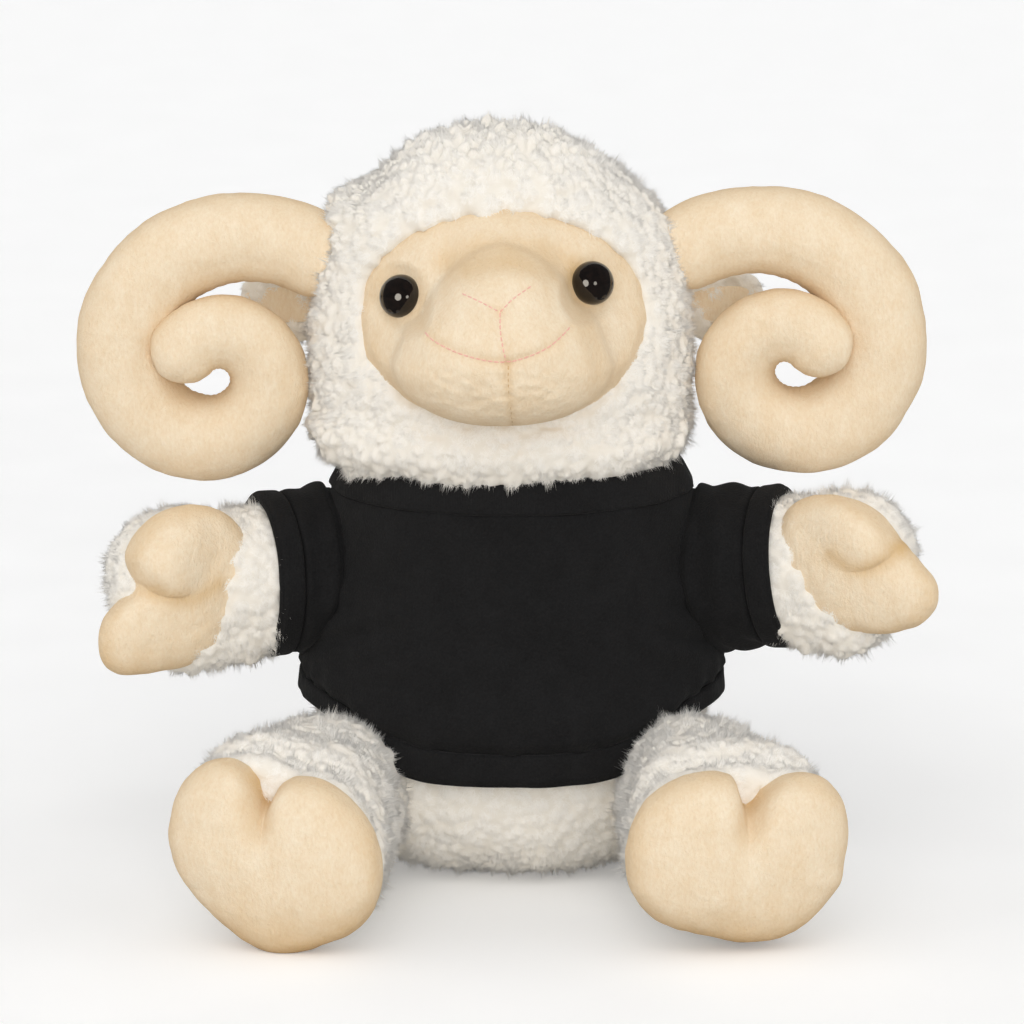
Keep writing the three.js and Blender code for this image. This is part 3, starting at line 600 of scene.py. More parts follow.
def egg_skin(egg, rings, steps, centre=0.0):
    """The base under an egg's pile."""
    climb = np.radians(np.linspace(-89, 89, rings))
    reach, power = reach_and_power(egg, climb)
    z = np.sign(climb) * np.abs(np.sin(climb)) ** (2 / power) * (reach - UNDER_PILE) + egg["middle"]
    share = np.cos(climb) ** (2 / power)
    turn = np.radians(turns(steps))
    x = share[:, None] * (egg["wide"] - UNDER_PILE) * np.cos(turn) + centre
    y = share[:, None] * (egg["deep"] - UNDER_PILE) * np.sin(turn)
    return Skin(np.stack([x, y, np.broadcast_to(z[:, None], x.shape)], -1))


def face_place(points):
    """Where points lie across the face patch: 1 on its rim."""
    across = (points[..., 0] - HEAD_X) / FACE["wide"]
    up = (points[..., 2] - FACE["middle"]) / FACE["high"]
    # The wool comes a little lower over the forehead.
    return np.hypot(across, up) + 0.02 * smoothstep(0.2, 0.9, up), across, up


def off_the_face(points):
    share = face_place(points)[0]
    hidden_below = (points[:, 2] < 98.5) & (np.hypot(points[:, 0] - HEAD_X, points[:, 1]) < 30)
    return ~((share < 0.985) & (points[:, 1] < 0)) & ~hidden_below


def head_lean(points):
    """Locks part round the face, and hang down over the collar."""
    share, across, up = face_place(points)
    near = np.where(points[:, 1] < 0, np.clip(1.35 - share, 0, 0.35) / 0.35, 0)
    outward = np.stack([across, np.zeros(len(points)), np.minimum(up, 0.0)], 1)
    low = smoothstep(116, 104, points[:, 2])
    around = unit((points - [HEAD_X, 0, 0]) * [1, 1, 0])
    down = np.array([0, 0, -1]) * (0.35 + 1.1 * low)[:, None]
    return outward * (near * 0.8)[:, None] + around * (low * 0.5)[:, None] + down


def head_height(points):
    x, _, z = points.T
    share, _, _ = face_place(points)
    brushed = np.where(points[:, 1] < 0, smoothstep(1.16, 0.98, share), 0)
    crown = 4.6 * smoothstep(150, 178, z) * smoothstep(22, 2, x) * smoothstep(-34, -18, x)
    horn_roots = np.exp(-(((z - 161) / 4.5) ** 2)) * (4.5 * smoothstep(-26, -38, x) + 2 * smoothstep(28, 38, x))
    sides = 2.6 * smoothstep(-24, -44, x) * smoothstep(176, 164, z) + 0.9 * smoothstep(24, 44, x)
    return (3.2 + 1.8 * smoothstep(116, 104, z) + crown + horn_roots + sides) * (1 - 0.55 * brushed)


def make_head():
    base = egg_skin(HEAD, 210, 400, HEAD_X)
    share, _, _ = face_place(base.points)
    base.points[:, 1] += np.where(base.points[:, 1] < 0, smoothstep(1.0, 0.86, share), 0) * 7
    low = smoothstep(117, 107, base.points[:, 2]) * smoothstep(97, 102, base.points[:, 2])
    base.points += unit((base.points - [HEAD_X, 0, 0]) * [1, 1, 0]) * (3.6 * low)[:, None]
    add_wool("head", base, "head", 21, ["head_cover", "head_stuffing"], height=head_height,
             keep=off_the_face, lean=head_lean)
    turn, radius = np.radians(turns(48)), 25.5
    neck = Skin([np.stack([HEAD_X + radius * np.cos(turn), radius * np.sin(turn), np.full(48, z)], 1)
                 for z in np.linspace(84, 103, 12)])
    neck.push(0.4 * smooth_noise(neck.points, 4, 12))
    neck.tone = np.full(len(neck.points), 0.4)
    piece = add_skin("neck", neck, BACKING, None, ["neck_tube"])
    blend_between(piece, "torso", "neck", (0, 0, 90), (0, 0, 99))


# The T-shirt's hem, at turns from the front to the back: the heights of its seam and of its free edge.
FROM_FRONT = [0, 22, 30, 38, 46, 54, 66, 90, 130, 180]
HEM_SEAM = [37, 37.4, 38.6, 40.6, 43.2, 45.6, 47.4, 48.6, 45.6, 43.6]
HEM_EDGE = [28.8, 28.9, 29.6, 32.4, 36.6, 39.8, 41.6, 42.0, 38.4, 36.4]


def hem_height(turn, table):
    """A height along the hem, from one of its tables, at a turn round the body in degrees."""
    angles = np.arange(0, 181)
    line = np.interp(angles, FROM_FRONT, table)
    line = evened(np.concatenate([line[12:0:-1], line, line[-2:-14:-1]]), 12, 4.5)
    return np.interp(np.abs(np.mod(np.asarray(turn) + 270, 360) - 180), angles, line)


def below_the_hem(points):
    turn = np.degrees(np.arctan2(points[:, 1] / TORSO["deep"], points[:, 0] / TORSO["wide"]))
    return (points[:, 2] < hem_height(turn, HEM_EDGE) + 0.5) & (points[:, 2] > 1.2)


make_head()
add_wool("torso", egg_skin(TORSO, 150, 400).flatten_under(0.4), "torso", 23,
         ["torso_cover", "torso_stuffing", "pellet_pouch"], height=2.9, keep=below_the_hem)

# ---- Face


def face_depth(x, z):
    """How far in front of the head's middle the face lies, at x from its own middle: the cheeks and the muzzle,
    which run softly into each other."""
    inner = dict(HEAD, rise=HEAD["rise"] - 3, drop=HEAD["drop"] - 3)
    share = egg_share(inner, z - HEAD["middle"])
    across = x / (HEAD["wide"] - 3)
    rim, _, _ = face_place(np.stack([x + HEAD_X, 0 * x, z], -1))
    cheek = (HEAD["deep"] - 3) * np.sqrt(np.maximum(0, share**2 - across**2))
    cheek = cheek + 2.2 * np.clip(1 - rim**4, 0, 1) - 5.5 * smoothstep(0.93, 1.08, rim)
    height = z - MUZZLE["middle"]
    reach, power = reach_and_power(MUZZLE, height)
    level = 1 - np.abs(height / reach) ** power
    wide = MUZZLE["wide"] + 3 * smoothstep(140, 130, z) - 3 * smoothstep(141, 148, z)
    body = np.sign(level) * np.abs(level) ** (2 / power) - (x / wide) ** 2
    snout = MUZZLE_ROOT + MUZZLE["deep"] * np.sign(body) * np.sqrt(np.abs(body))
    blend = 10 + 18 * smoothstep(151, 138, z) + 10 * smoothstep(17, 7, np.abs(x)) * smoothstep(148, 155, z)
    near = np.maximum(blend - np.abs(cheek - snout), 0) / blend
    return np.maximum(cheek, snout) + near**2 * blend / 4


# Places and lines on the face: (how far right of its middle, how high).
EYE_PLACES = {"left": (-24.6, 147.0), "right": (21.5, 150.4)}
MOUTH = [(-18.4, 141.6), (-16.7, 140.2), (-13.6, 138.9), (-10.7, 137.9), (-6.2, 136.8), (-3.2, 136.3),
         (0.8, 136.0), (2.9, 136.4), (5.7, 137.2), (10.4, 138.9), (13.5, 141.0), (15.9, 143.0)]
NOSE_STEM = [(-0.6, 147.2), (-0.6, 143.3), (-0.1, 140.2), (0.8, 136.2)]
NOSE_LEFT = [(-9.6, 150.8), (-5.6, 149.6), (-2.3, 148.1), (-0.6, 147.2)]
NOSE_RIGHT = [(-0.6, 147.2), (2.2, 150.1), (6.7, 152.6)]
CHIN = [(1.3, 135.2), (1.3, 129.5), (2.0, 123.5), (2.4, 118.5)]
BROW = [(-12.7, 155.6), (-6.7, 158.6), (-0.7, 160.0), (6.5, 159.5), (12.5, 157.4), (16.6, 153.6)]
BROW_LOW = [(-7.8, 154.9), (-3.0, 156.9), (1.7, 157.2), (7.7, 155.8), (11.2, 153.6)]
CHEEK_FOLD = [(17.4, 150.5), (18.6, 146.5), (20.2, 141.8), (22.0, 136.5), (23.4, 130.5)]
CHEEK_FOLD_LEFT = [(-15.5, 150.0), (-19.0, 145.0), (-21.0, 140.0), (-22.0, 134.0)]


def spaced(line, step):
    """Points along a line at even steps, rounded at its corners."""
    line = np.asarray(line, float)
    for _ in range(2):
        inner = np.stack([line[:-1] * 0.75 + line[1:] * 0.25, line[:-1] * 0.25 + line[1:] * 0.75], 1)
        line = np.concatenate([line[:1], inner.reshape(-1, line.shape[1])[1:-1], line[-1:]])
    run = np.concatenate([[0], np.cumsum(np.linalg.norm(np.diff(line, axis=0), axis=1))])
    at = np.linspace(0, run[-1], max(2, round(run[-1] / step) + 1))
    return np.stack([np.interp(at, run, line[:, k]) for k in range(line.shape[1])], 1)


def distance_to(line, x, z):
    """How far each point is from a line on the face."""
    line = spaced(line, 0.5)
    return np.min([np.hypot(x - px, z - pz) for px, pz in line], axis=0)


def groove(line, x, z, width, depth):
    return depth * np.exp(-((distance_to(line, x, z) / width) ** 2))


# Seams and folds: how wide and how deep each is pressed into the face.
FACE_LINES = [
    (MOUTH, 1.3, 0.6), (CHIN, 1.0, 0.8), (NOSE_STEM, 1.1, 0.6), (NOSE_LEFT, 1.0, 0.3), (NOSE_RIGHT, 1.0, 0.35),
    (BROW, 2.2, 1.1), (BROW_LOW, 1.5, 0.6), (CHEEK_FOLD, 1.7, 0.9), (CHEEK_FOLD_LEFT, 2.2, 0.5),
]
# How wide and how strong the painted shade, a darker and warmer tone of the pile, is along them.
FACE_PAINTED_SHADE = [(BROW, 3.4, 0.45), (BROW_LOW, 1.8, 0.25), (CHEEK_FOLD, 3, 0.3), (MOUTH, 1.3, 0.2), (CHIN, 1.2, 0.3)]


def grooves(lines, x, z):
    return sum(groove(line, x, z, width, depth) for line, width, depth in lines)


def seat_eyes(depth, x, z):
    """Flattens the face under each eye, square to the cheek."""
    for ex, ez in EYE_PLACES.values():
        middle = face_depth(np.array([ex, ex - 3, ex + 3, ex, ex]), np.array([ez, ez, ez, ez - 3, ez + 3]))
        slope_x, slope_z = (middle[2] - middle[1]) / 6, (middle[4] - middle[3]) / 6
        seat = middle[0] - 0.5 + slope_x * (x - ex) + slope_z * (z - ez)
        near = smoothstep(8.5, 5.5, np.hypot(x - ex, z - ez))
        depth = depth * (1 - near) + np.minimum(depth, seat) * near
    return depth


def sewn_face(x, z):
    depth = seat_eyes(face_depth(x, z), x, z) - grooves(FACE_LINES, x, z)
    spots = np.stack([x, np.zeros_like(x), z], -1)
    chin = smoothstep(137, 130, z) * smoothstep(24, 14, np.abs(x))
    return (depth + 0.3 * smooth_noise(spots, 7, 31) + 0.1 * smooth_noise(spots, 2.5, 32)
            + chin * (0.22 * smooth_noise(spots * [1, 1, 1.6], 2.2, 33) + 0.12 * smooth_noise(spots, 1.1, 34)))


def face_point(x, z):
    """The point on the face at x from its middle and at height z."""
    x, z = np.asarray(x, float), np.asarray(z, float)
    return np.stack([x + HEAD_X, -sewn_face(x, z), z], -1)


def make_face():
    turn = np.radians(turns(216))
    share = np.linspace(0.01, 1.04, 110)[:, None]
    x = FACE["wide"] * share * np.cos(turn)
    z = FACE["middle"] + FACE["high"] * share * np.sin(turn)
    front = face_point(x, z)
    back = front[::-8] + [0, 2.5, 0]
    skin = Skin(np.concatenate([front, back]))
    # Painted shade: the pile is darker and warmer along the folds and seams, near the rim and round the eyes.
    tone = grooves(FACE_PAINTED_SHADE, x, z) + 0.3 * smoothstep(0.82, 1, share)
    for ex, ez in EYE_PLACES.values():
        tone = tone + 0.3 * smoothstep(9, 5, np.hypot(x - ex, z - ez))
    skin.paint(np.concatenate([tone, 0 * tone[::-8]]))
    add_skin("face", skin, PLUSH, "head", ["face_panel"])


make_face()


def thread_along(line, radius):
    """A rounded thread along a line, closed at its ends."""
    ahead = unit(np.gradient(line, axis=0))
    side = unit(np.cross(ahead, [0.0, 1, 0]))
    share = np.linspace(0, 1, len(line))
    size = radius * np.sqrt(np.maximum(0.05, 1 - np.abs(2 * share - 1) ** 4))[:, None]
    turn = np.radians(turns(8))
    return Skin(line[:, None] + side[:, None] * (np.cos(turn) * size)[..., None]
                + np.cross(ahead, side)[:, None] * (np.sin(turn) * size)[..., None])


def join_skins(skins):
    joined = skins[0]
    for skin in skins[1:]:
        base = len(joined.points)
        joined.points = np.concatenate([joined.points, skin.points])
        joined.quads = np.concatenate([joined.quads, skin.quads + base])
        joined.fans = np.concatenate([joined.fans, skin.fans + base])
    return joined


def stitched_line(line, stitch, gap, radius, lift):
    """A line of hand stitches, each a short thread that dips into the cloth at both ends."""
    fine = spaced(line, 0.12)
    per, skip = round(stitch / 0.12), round(gap / 0.12)
    stitches = []
    for start in range(0, len(fine) - per // 2, per + skip):
        run = fine[start:start + per + 1]
        points = face_point(run[:, 0], run[:, 1])
        points[:, 1] -= lift * np.sin(np.pi * np.linspace(0, 1, len(run))) ** 0.6 - 0.12
        stitches.append(thread_along(points[::2], radius))
    return stitches


def add_stitching(name, lines, sizes, material, node):
    """Stitches along lines. sizes are each stitch's length, the gap after it, its radius and how high it stands."""
    stitches = [s for line in lines for s in stitched_line(line, *sizes)]
    add_skin(name, join_skins(stitches), material, "head", [node])


add_stitching("nose_thread", (NOSE_LEFT, NOSE_RIGHT, NOSE_STEM), (1.3, 0.0, 0.17, 0.12), PINK,
              "nose_stitch")
add_stitching("mouth_thread", (MOUTH,), (1.4, 0.0, 0.18, 0.12), PINK, "mouth_stitch")
add_stitching("chin_thread", (CHIN,), (1.2, 0.25, 0.15, 0.05), TAN, "chin_seam_stitch")


def make_eye(side):
    x, z = EYE_PLACES[side]
    step, radius, dome, shank, shank_length, rim = 3, 5.3, 4.6, 1.5, 7, 0.8
    centre = face_point(x, z)
    across = unit(face_point(x + step, z) - face_point(x - step, z))
    upward = face_point(x, z + step) - face_point(x, z - step)
    out = unit(np.cross(upward, across))
    out = out if out[1] < 0 else -out
    upward = np.cross(out, across)
    profile = [(shank, -shank_length), (shank, -rim), (radius - 0.35, -rim)]
    climb = np.radians(np.linspace(-12, 88, 18))
    profile += [(radius * math.cos(a), dome * math.sin(a)) for a in climb]
    turn = np.radians(turns(56))
    rings = [centre + out * (h + 0.1) + r * (np.cos(turn)[:, None] * across + np.sin(turn)[:, None] * upward)
             for r, h in profile]
    add_skin(f"glass_eye_{side}", Skin(rings), EYE, "head",
             [f"eye_{side}", f"eye_washer_{side}"])


for side in SIDES:
    make_eye(side)

# ---- Horns


def horn_line(share):
    share = np.asarray(share, float)
    left = np.maximum(0, 1 - share)
    angle = np.radians(HORN["root_angle"] - HORN["sweep"] * share)
    radius = HORN["end_radius"] + (HORN["root_radius"] - HORN["end_radius"]) * left ** HORN["easing"]
    start = math.radians(HORN["root_angle"])
    out = radius * np.cos(angle) - HORN["root_radius"] * math.cos(start)
    up = radius * np.sin(angle) - HORN["root_radius"] * math.sin(start)
    return np.stack([out, -HORN["forward"] * share**2, up], -1)


def horn_half(share):
    late = HORN["half"] + (HORN["tip"] - HORN["half"]) * (2 * share - 1)
    early = HORN["half"] + (HORN["full"] - HORN["half"]) * np.sin(2 * np.pi * share)
    return np.where(share > 0.5, late, early)


def make_horn(side):
    share = np.linspace(0, 1, 260)
    # Both ends are round: the line goes on straight from each while the tube closes.
    root, tip = np.radians(np.linspace(-88, -6, 10)), np.radians(np.linspace(6, 88, 16))
    place = np.concatenate([0 * root, share, 0 * tip + 1])
    climb = np.concatenate([root, 0 * share, tip])
    ahead = unit(horn_line(place + 1e-3) - horn_line(place - 1e-3))
    line = horn_line(place) + ahead * (horn_half(place) * np.sin(climb))[:, None]
    half = horn_half(place) * np.cos(climb)
    depthwise = np.array([0.0, 1, 0])
    outward = unit(np.cross(ahead, depthwise))
    run = np.concatenate([[0], np.cumsum(np.linalg.norm(np.diff(line, axis=0), axis=1))])
    turn = np.radians(turns(72))
    size = half[:, None] * np.ones(len(turn))
    # Two seams run along the tube, and its inner side puckers.
    for seam in np.radians([118, -118]):
        off = np.angle(np.exp(1j * (turn - seam)))
        wide = 0.9 / np.maximum(half, 2)[:, None]
        size = size - np.minimum(0.18, half[:, None] * 0.2) * np.exp(-((off / wide) ** 2))
    inner = np.clip(-np.cos(turn), 0, 1) ** 2
    pucker = np.sin(run[:, None] * 2 * np.pi / 4.3 + 2.5 * np.sin(run[:, None] / 9)) * 0.07 * inner
    size = size + pucker * np.minimum(1, half[:, None] / 8)
    rings = (line[:, None] + outward[:, None] * (size * np.cos(turn))[..., None]
             + depthwise * (size * HORN["depth_share"] * np.sin(turn))[..., None])
    skin = Skin(rings)
    # Painted shade: the tube is darker at its rims, as seen from the front, and on its inner side within the curl.
    skin.paint(np.broadcast_to(0.4 * np.abs(np.cos(turn)) ** 6 + 0.2 * inner, size.shape))
    seed = 41 + (side == "left")
    skin.push(0.32 * smooth_noise(skin.points, 8, seed) + 0.14 * smooth_noise(skin.points, 2.6, seed + 7))
    height = HORN_HEIGHT[side]
    out = HEAD["wide"] * float(egg_share(HEAD, height - HEAD["middle"])) + HORN["gap"]
    skin.place(lambda p: (p + [out, 0, height]) * [SIDES[side], 1, 1] + [HEAD_X, 0, 0])
    add_skin(f"horn_{side}", skin, PLUSH, f"horn_{side}",
             [f"horn_cover_{side}", f"horn_stuffing_{side}"])


for side in SIDES:
    make_horn(side)

# ---- Ears


def make_ear(side):
    height, behind, gap, length, half_width = 137, 22, 1.4, 23, 8
    share = float(egg_share(HEAD, height - HEAD["middle"]))
    out = (HEAD["wide"] * share + gap) * math.cos(math.radians(behind))
    back = (HEAD["deep"] * share + gap) * math.sin(math.radians(behind))
    ear = Frame(turn_matrix("z", behind), [out, back, height], side)

    def leaf(thick, grow, shift, stations, steps):
        """A leaf shape along X, this thick at its middle. Its width grows, and it shifts back, by these."""
        at = np.linspace(0, 1, stations)[:, None]
        half = (half_width + grow) * np.sqrt(np.maximum(0.004, 1 - (2 * at - 1.0) ** 2)) ** 0.9
        turn = np.radians(turns(steps))
        z = half * np.cos(turn)
        y = thick * (half / half_width) * np.sin(turn) - 0.8 * (z / half_width) ** 2 + shift
        skin = Skin(np.stack([at * length + 0 * z, y, z], -1))
        return skin.place(lambda points: ear.out(points) + [HEAD_X, 0, 0])

    def round_the_lining(place):
        own = ear.back(place - [HEAD_X, 0, 0])
        from_middle = np.hypot((own[:, 0] - length / 2) / length * 2, own[:, 2] / half_width)
        return (own[:, 1] > -0.2) | (from_middle > 0.6)

    cover, lining = leaf(1.6, 0, 1.2, 50, 80), leaf(0.9, -3.4, -1.1, 30, 40)
    add_wool(f"ear_{side}", cover, f"ear_{side}", 51, [f"ear_back_{side}"], height=2.2, spacing=2.5,
             keep=round_the_lining, per_tuft=40)
    add_skin(f"ear_inner_{side}", lining, PLUSH, f"ear_{side}", [f"ear_lining_{side}"])


for side in SIDES:
    make_ear(side)

# ---- Pads of the hands and feet

# Each outline is (turn from straight out, distance from the middle), as seen from in front on the right.
PALMS = {
    "left": [(-45, 27.6), (-38, 26.8), (-28, 24.2), (-19, 21.0), (-10, 16.0), (-2, 12.9), (8, 12.4), (20, 14.2),
             (34, 16.8), (48, 17.9), (63, 18.6), (85, 19.6), (103, 20.3), (121, 20.6), (143, 19.8), (154, 18.0),
             (170, 16.0), (188, 14.8), (208, 15.0), (228, 15.9), (248, 18), (265, 19.9), (285, 21.6),
             (300, 24.4), (308, 26.6)],
    "right": [(-77, 16.4), (-60, 18.6), (-45, 20.8), (-33, 23.0), (-19, 23.6), (-8, 22.2), (4, 18.4), (16, 16.0),
              (30, 14.4), (44, 14.6), (60, 15.2), (80, 16.2), (95, 17.2), (117, 19.4), (135, 20.6), (152, 20.4),
              (171, 18.8), (195, 16.6), (227, 14.6), (261, 15.7)],
}
# The lobe over each palm: its middle, its radius, how far it stands out, and the way in which its edge fades.
PALM_LOBES = {
    "left": ((3.4, 10.6), 11.8, 4.4, (-0.75, 0.66)),
    "right": ((1.5, 14.6), 14.2, 4.2, (-0.85, 0.4)),
}
# Lines on the pads, from their middles: a crease across each palm, drawn only as painted shade, and the notch down
# each sole.
PALM_PAINTED_CREASES = {
    "left": [(-7.0, 1.2), (-2.0, -1.6), (4.0, -1.8), (9.0, 0.6)],
    "right": [(-2.5, 4.2), (0.5, 2.0), (4.0, 0.8), (8.5, 2.2), (13.0, 6.0)],
}
SOLES = {
    "left": [(-6, 24.8), (10, 26.4), (21, 26.8), (33, 27.6), (46, 27.8), (57, 26.7), (66, 25.0), (73, 22.0),
             (78, 16.4), (81, 12.6), (85, 13.2), (93, 16.7), (104, 20.0), (116, 21.6), (130, 22.8), (147, 23.6),
             (162, 24.9), (180, 26.0), (200, 26.5), (213, 26.2), (226, 25.4), (240, 24.1), (255, 24.1),
             (270, 24.0), (285, 22.7), (300, 21.4), (318, 21.2), (336, 22.5)],
    "right": [(-5, 25.9), (7, 26.9), (19, 28.0), (30, 28.2), (42, 27.4), (52, 24.9), (60, 21.8), (68, 16.6),
              (76, 12.8), (82, 12.5), (87, 15.4), (93, 19.4), (104, 21.5), (117, 22.9), (130, 24.5), (144, 25.6),
              (157, 26.5), (175, 26.8), (195, 26.4), (207, 25.3), (220, 23.6), (234, 21.4), (249, 20.2),
              (265, 20.5), (280, 21.3), (298, 22.8), (315, 23.7), (332, 24.6), (344, 26.2)],
}
SOLE_CREASES = {
    "left": [(2.6, 19.0), (2.2, 14.0), (1.8, 9.0), (1.2, 5.0)],
    "right": [(3.2, 18.0), (2.4, 13.0), (1.0, 8.0), (-0.6, 4.0)],
}


def outline_at(outline, turn):
    """The outline's distance at each turn, in degrees, smoothly between its points."""
    angles, sizes = (np.array(column, float) for column in zip(*outline))
    fine = np.arange(0, 360, 1.0)
    around = np.interp(fine, np.mod(angles, 360), sizes, period=360)
    around = evened(np.concatenate([around[-8:], around, around[:8]]), 8, 2.6)
    return np.interp(np.mod(turn, 360), fine, around, period=360)


def pad_skin(outline, bulge, sink, power, seed, lobe=None, cleft=None, painted_crease=None, low=0.3):
    """A stuffed pad. It bulges along -Y from a back that is sunk into the limb. Z is up. low is how much painted
    shade, darker and warmer, its tone takes on toward its foot."""
    turn = turns(240)
    radius = outline_at(outline, turn)
    back = np.radians(np.linspace(-88, -4, 14))
    front = np.radians(np.linspace(0, 89.5, 64))
    share = np.concatenate([np.cos(back) ** 0.55, np.cos(front) ** (2 / power)])
    depth = np.concatenate([sink * np.sin(back), bulge * np.sin(front) ** (2 / power)])
    x = share[:, None] * radius * np.cos(np.radians(turn))
    z = share[:, None] * radius * np.sin(np.radians(turn))
    out = np.broadcast_to(depth[:, None], x.shape).copy()
    # Painted shade: the tone grows near the pad's edge and toward its foot.
    tone = 0.35 * smoothstep(0.8, 1, share)[:, None] + low * smoothstep(-5, -23, z)
    if lobe:
        (lx, lz), size, tall, (fx, fz) = lobe
        px, pz = (x - lx) / size, (z - lz) / size
        fade = smoothstep(-0.75, 0.35, px * fx + pz * fz)
        dome = np.maximum(0, 1 - px**2 - pz**2) ** (0.6 + 1.6 * fade)
        out = out + tall * dome * (1 - 0.45 * fade) * smoothstep(-1, 4, out)
    if cleft:
        deep, wide = 6.0, 3.2
        line = spaced(cleft, 0.5)
        fall = np.linspace(1, 0, len(line)) ** 0.7
        valley = np.max([f * np.exp(-(((x - px) ** 2 + (z - pz) ** 2) / wide**2))
                         for (px, pz), f in zip(line, fall)], axis=0)
        out = out - smoothstep(-7, 3, out) * deep * valley
        # Painted shade down the notch.
        tone = tone + 0.7 * valley
    if painted_crease:
        # Painted shade along the palm's crease line, which is not pressed in.
        tone = tone + groove(painted_crease, x, z, 2.4, 0.6)
    skin = Skin(np.stack([x, -out, z], -1))
    skin.paint(tone)
    return skin.push(0.3 * smooth_noise(skin.points, 7, seed) + 0.14 * smooth_noise(skin.points, 2.4, seed + 3))


# ---- Arms


def arm_frame(side):
    """The arm runs out along +X in its own frame, from its shoulder."""
    turn = turn_matrix("y", -ARM_LIFT[side]) @ turn_matrix("z", -SHOULDER["yaw"])
    return Frame(turn, [SHOULDER["out"], -SHOULDER["forward"], SHOULDER["height"]], side)


def arm_skin():
    """The base under an arm's pile: a ball at the shoulder, a sleeve-wide tube, and a flattened hand."""
    steps, fine = ((180, 2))
    turn = np.radians(turns(steps))
    ball, wrist = ARM["ball"] - UNDER_PILE, ARM["wrist"] - UNDER_PILE
    stations = []
    for climb in np.radians(np.linspace(-88, -3, 12 * fine)):
        stations.append((ball * math.sin(climb), ball * math.cos(climb), ball * math.cos(climb)))
    for share in np.linspace(0, 1, 22 * fine):
        radius = ball + (wrist - ball) * share
        stations.append((ARM["wrist_at"] * share, radius, radius))
    for climb in np.radians(np.linspace(3, 88, 26 * fine)):
        share = math.sin(climb) ** 0.95
        swell, grow = math.cos(climb) ** 0.62, smoothstep(0, 0.35, share)
        high = (wrist + (ARM["high"] - UNDER_PILE - wrist) * grow) * swell
        deep = (wrist + (ARM["deep"] - UNDER_PILE - wrist) * grow) * swell
        stations.append((ARM["wrist_at"] + share * (ARM["length"] - UNDER_PILE - ARM["wrist_at"]), deep, high))
    return Skin([upright_ring(np.full(steps, x), d, h, turn) for x, d, h in stations])


def make_arm(side):
    arm = arm_frame(side)
    palm_middle = np.array([{"left": 38.2, "right": 40.6}[side], -8.5, 0.5])
    outline = PALMS[side]
    # Where the sleeve ends along the arm.
    cuff = {"left": 15.6, "right": 22.2}[side]
    # The right arm is lifted, and its palm's outline stays upright.
    upright = turn_matrix("y", ARM_LIFT[side])
    pad = pad_skin(outline, bulge=8.0, sink=6, power=2.3, seed=71, lobe=PALM_LOBES[side], painted_crease=PALM_PAINTED_CREASES[side])
    pad.place(lambda points: arm.out(points @ upright + palm_middle))

    def in_the_open(place):
        """True away from the sleeve and the pad."""
        own = arm.back(place)
        flat = (own - palm_middle) @ upright.T
        edge = outline_at(outline, np.degrees(np.arctan2(flat[:, 2], flat[:, 0])))
        under_pad = (np.hypot(flat[:, 0], flat[:, 2]) < edge - 5) & (own[:, 1] < 0)
        return ~under_pad & (own[:, 0] > cuff - 4)

    def height(place):
        own = arm.back(place)
        low = smoothstep(-2, -16, own[:, 2]) * smoothstep(50, 40, own[:, 0])
        return (3.0 + 2.6 * low - 1.5 * smoothstep(42, 54, own[:, 0])) * smoothstep(cuff - 5, cuff, own[:, 0])

    base = arm_skin()
    x, low = base.points[:, 0], smoothstep(-4, -16, base.points[:, 2])
    base.points[:, 2] -= 4.4 * low * smoothstep(cuff - 2, cuff + 6, x) * smoothstep(50, 34, x)
    base.points[:, 0] -= 3.4 * smoothstep(30, 56, x)
    base.place(arm.out)
    add_wool(f"arm_{side}", base, f"arm_{side}", 61, [f"arm_cover_{side}", f"arm_stuffing_{side}"],
             height=height, keep=in_the_open, lean=steadily(arm.way(np.array([0.5, 0, 0])) + [0, 0, -0.5]))
    add_skin(f"palm_{side}", pad, PLUSH, f"arm_{side}", [f"hand_pad_{side}"])


for side in SIDES:
    make_arm(side)

# ---- Legs

# How far the leg has grown into its sole's outline, at shares of its length.
LEG_STATIONS = [0, 0.12, 0.3, 0.55, 0.78, 1]
LEG_BLENDS = [0, 0.03, 0.12, 0.45, 0.85, 1]


def leg_frame(side):
    """The leg runs along -Y in its own frame, and its sole faces -Y."""
    return Frame(turn_matrix("z", LEG_YAW[side]), [HIP["out"], -HIP["forward"], HIP["height"]], side)


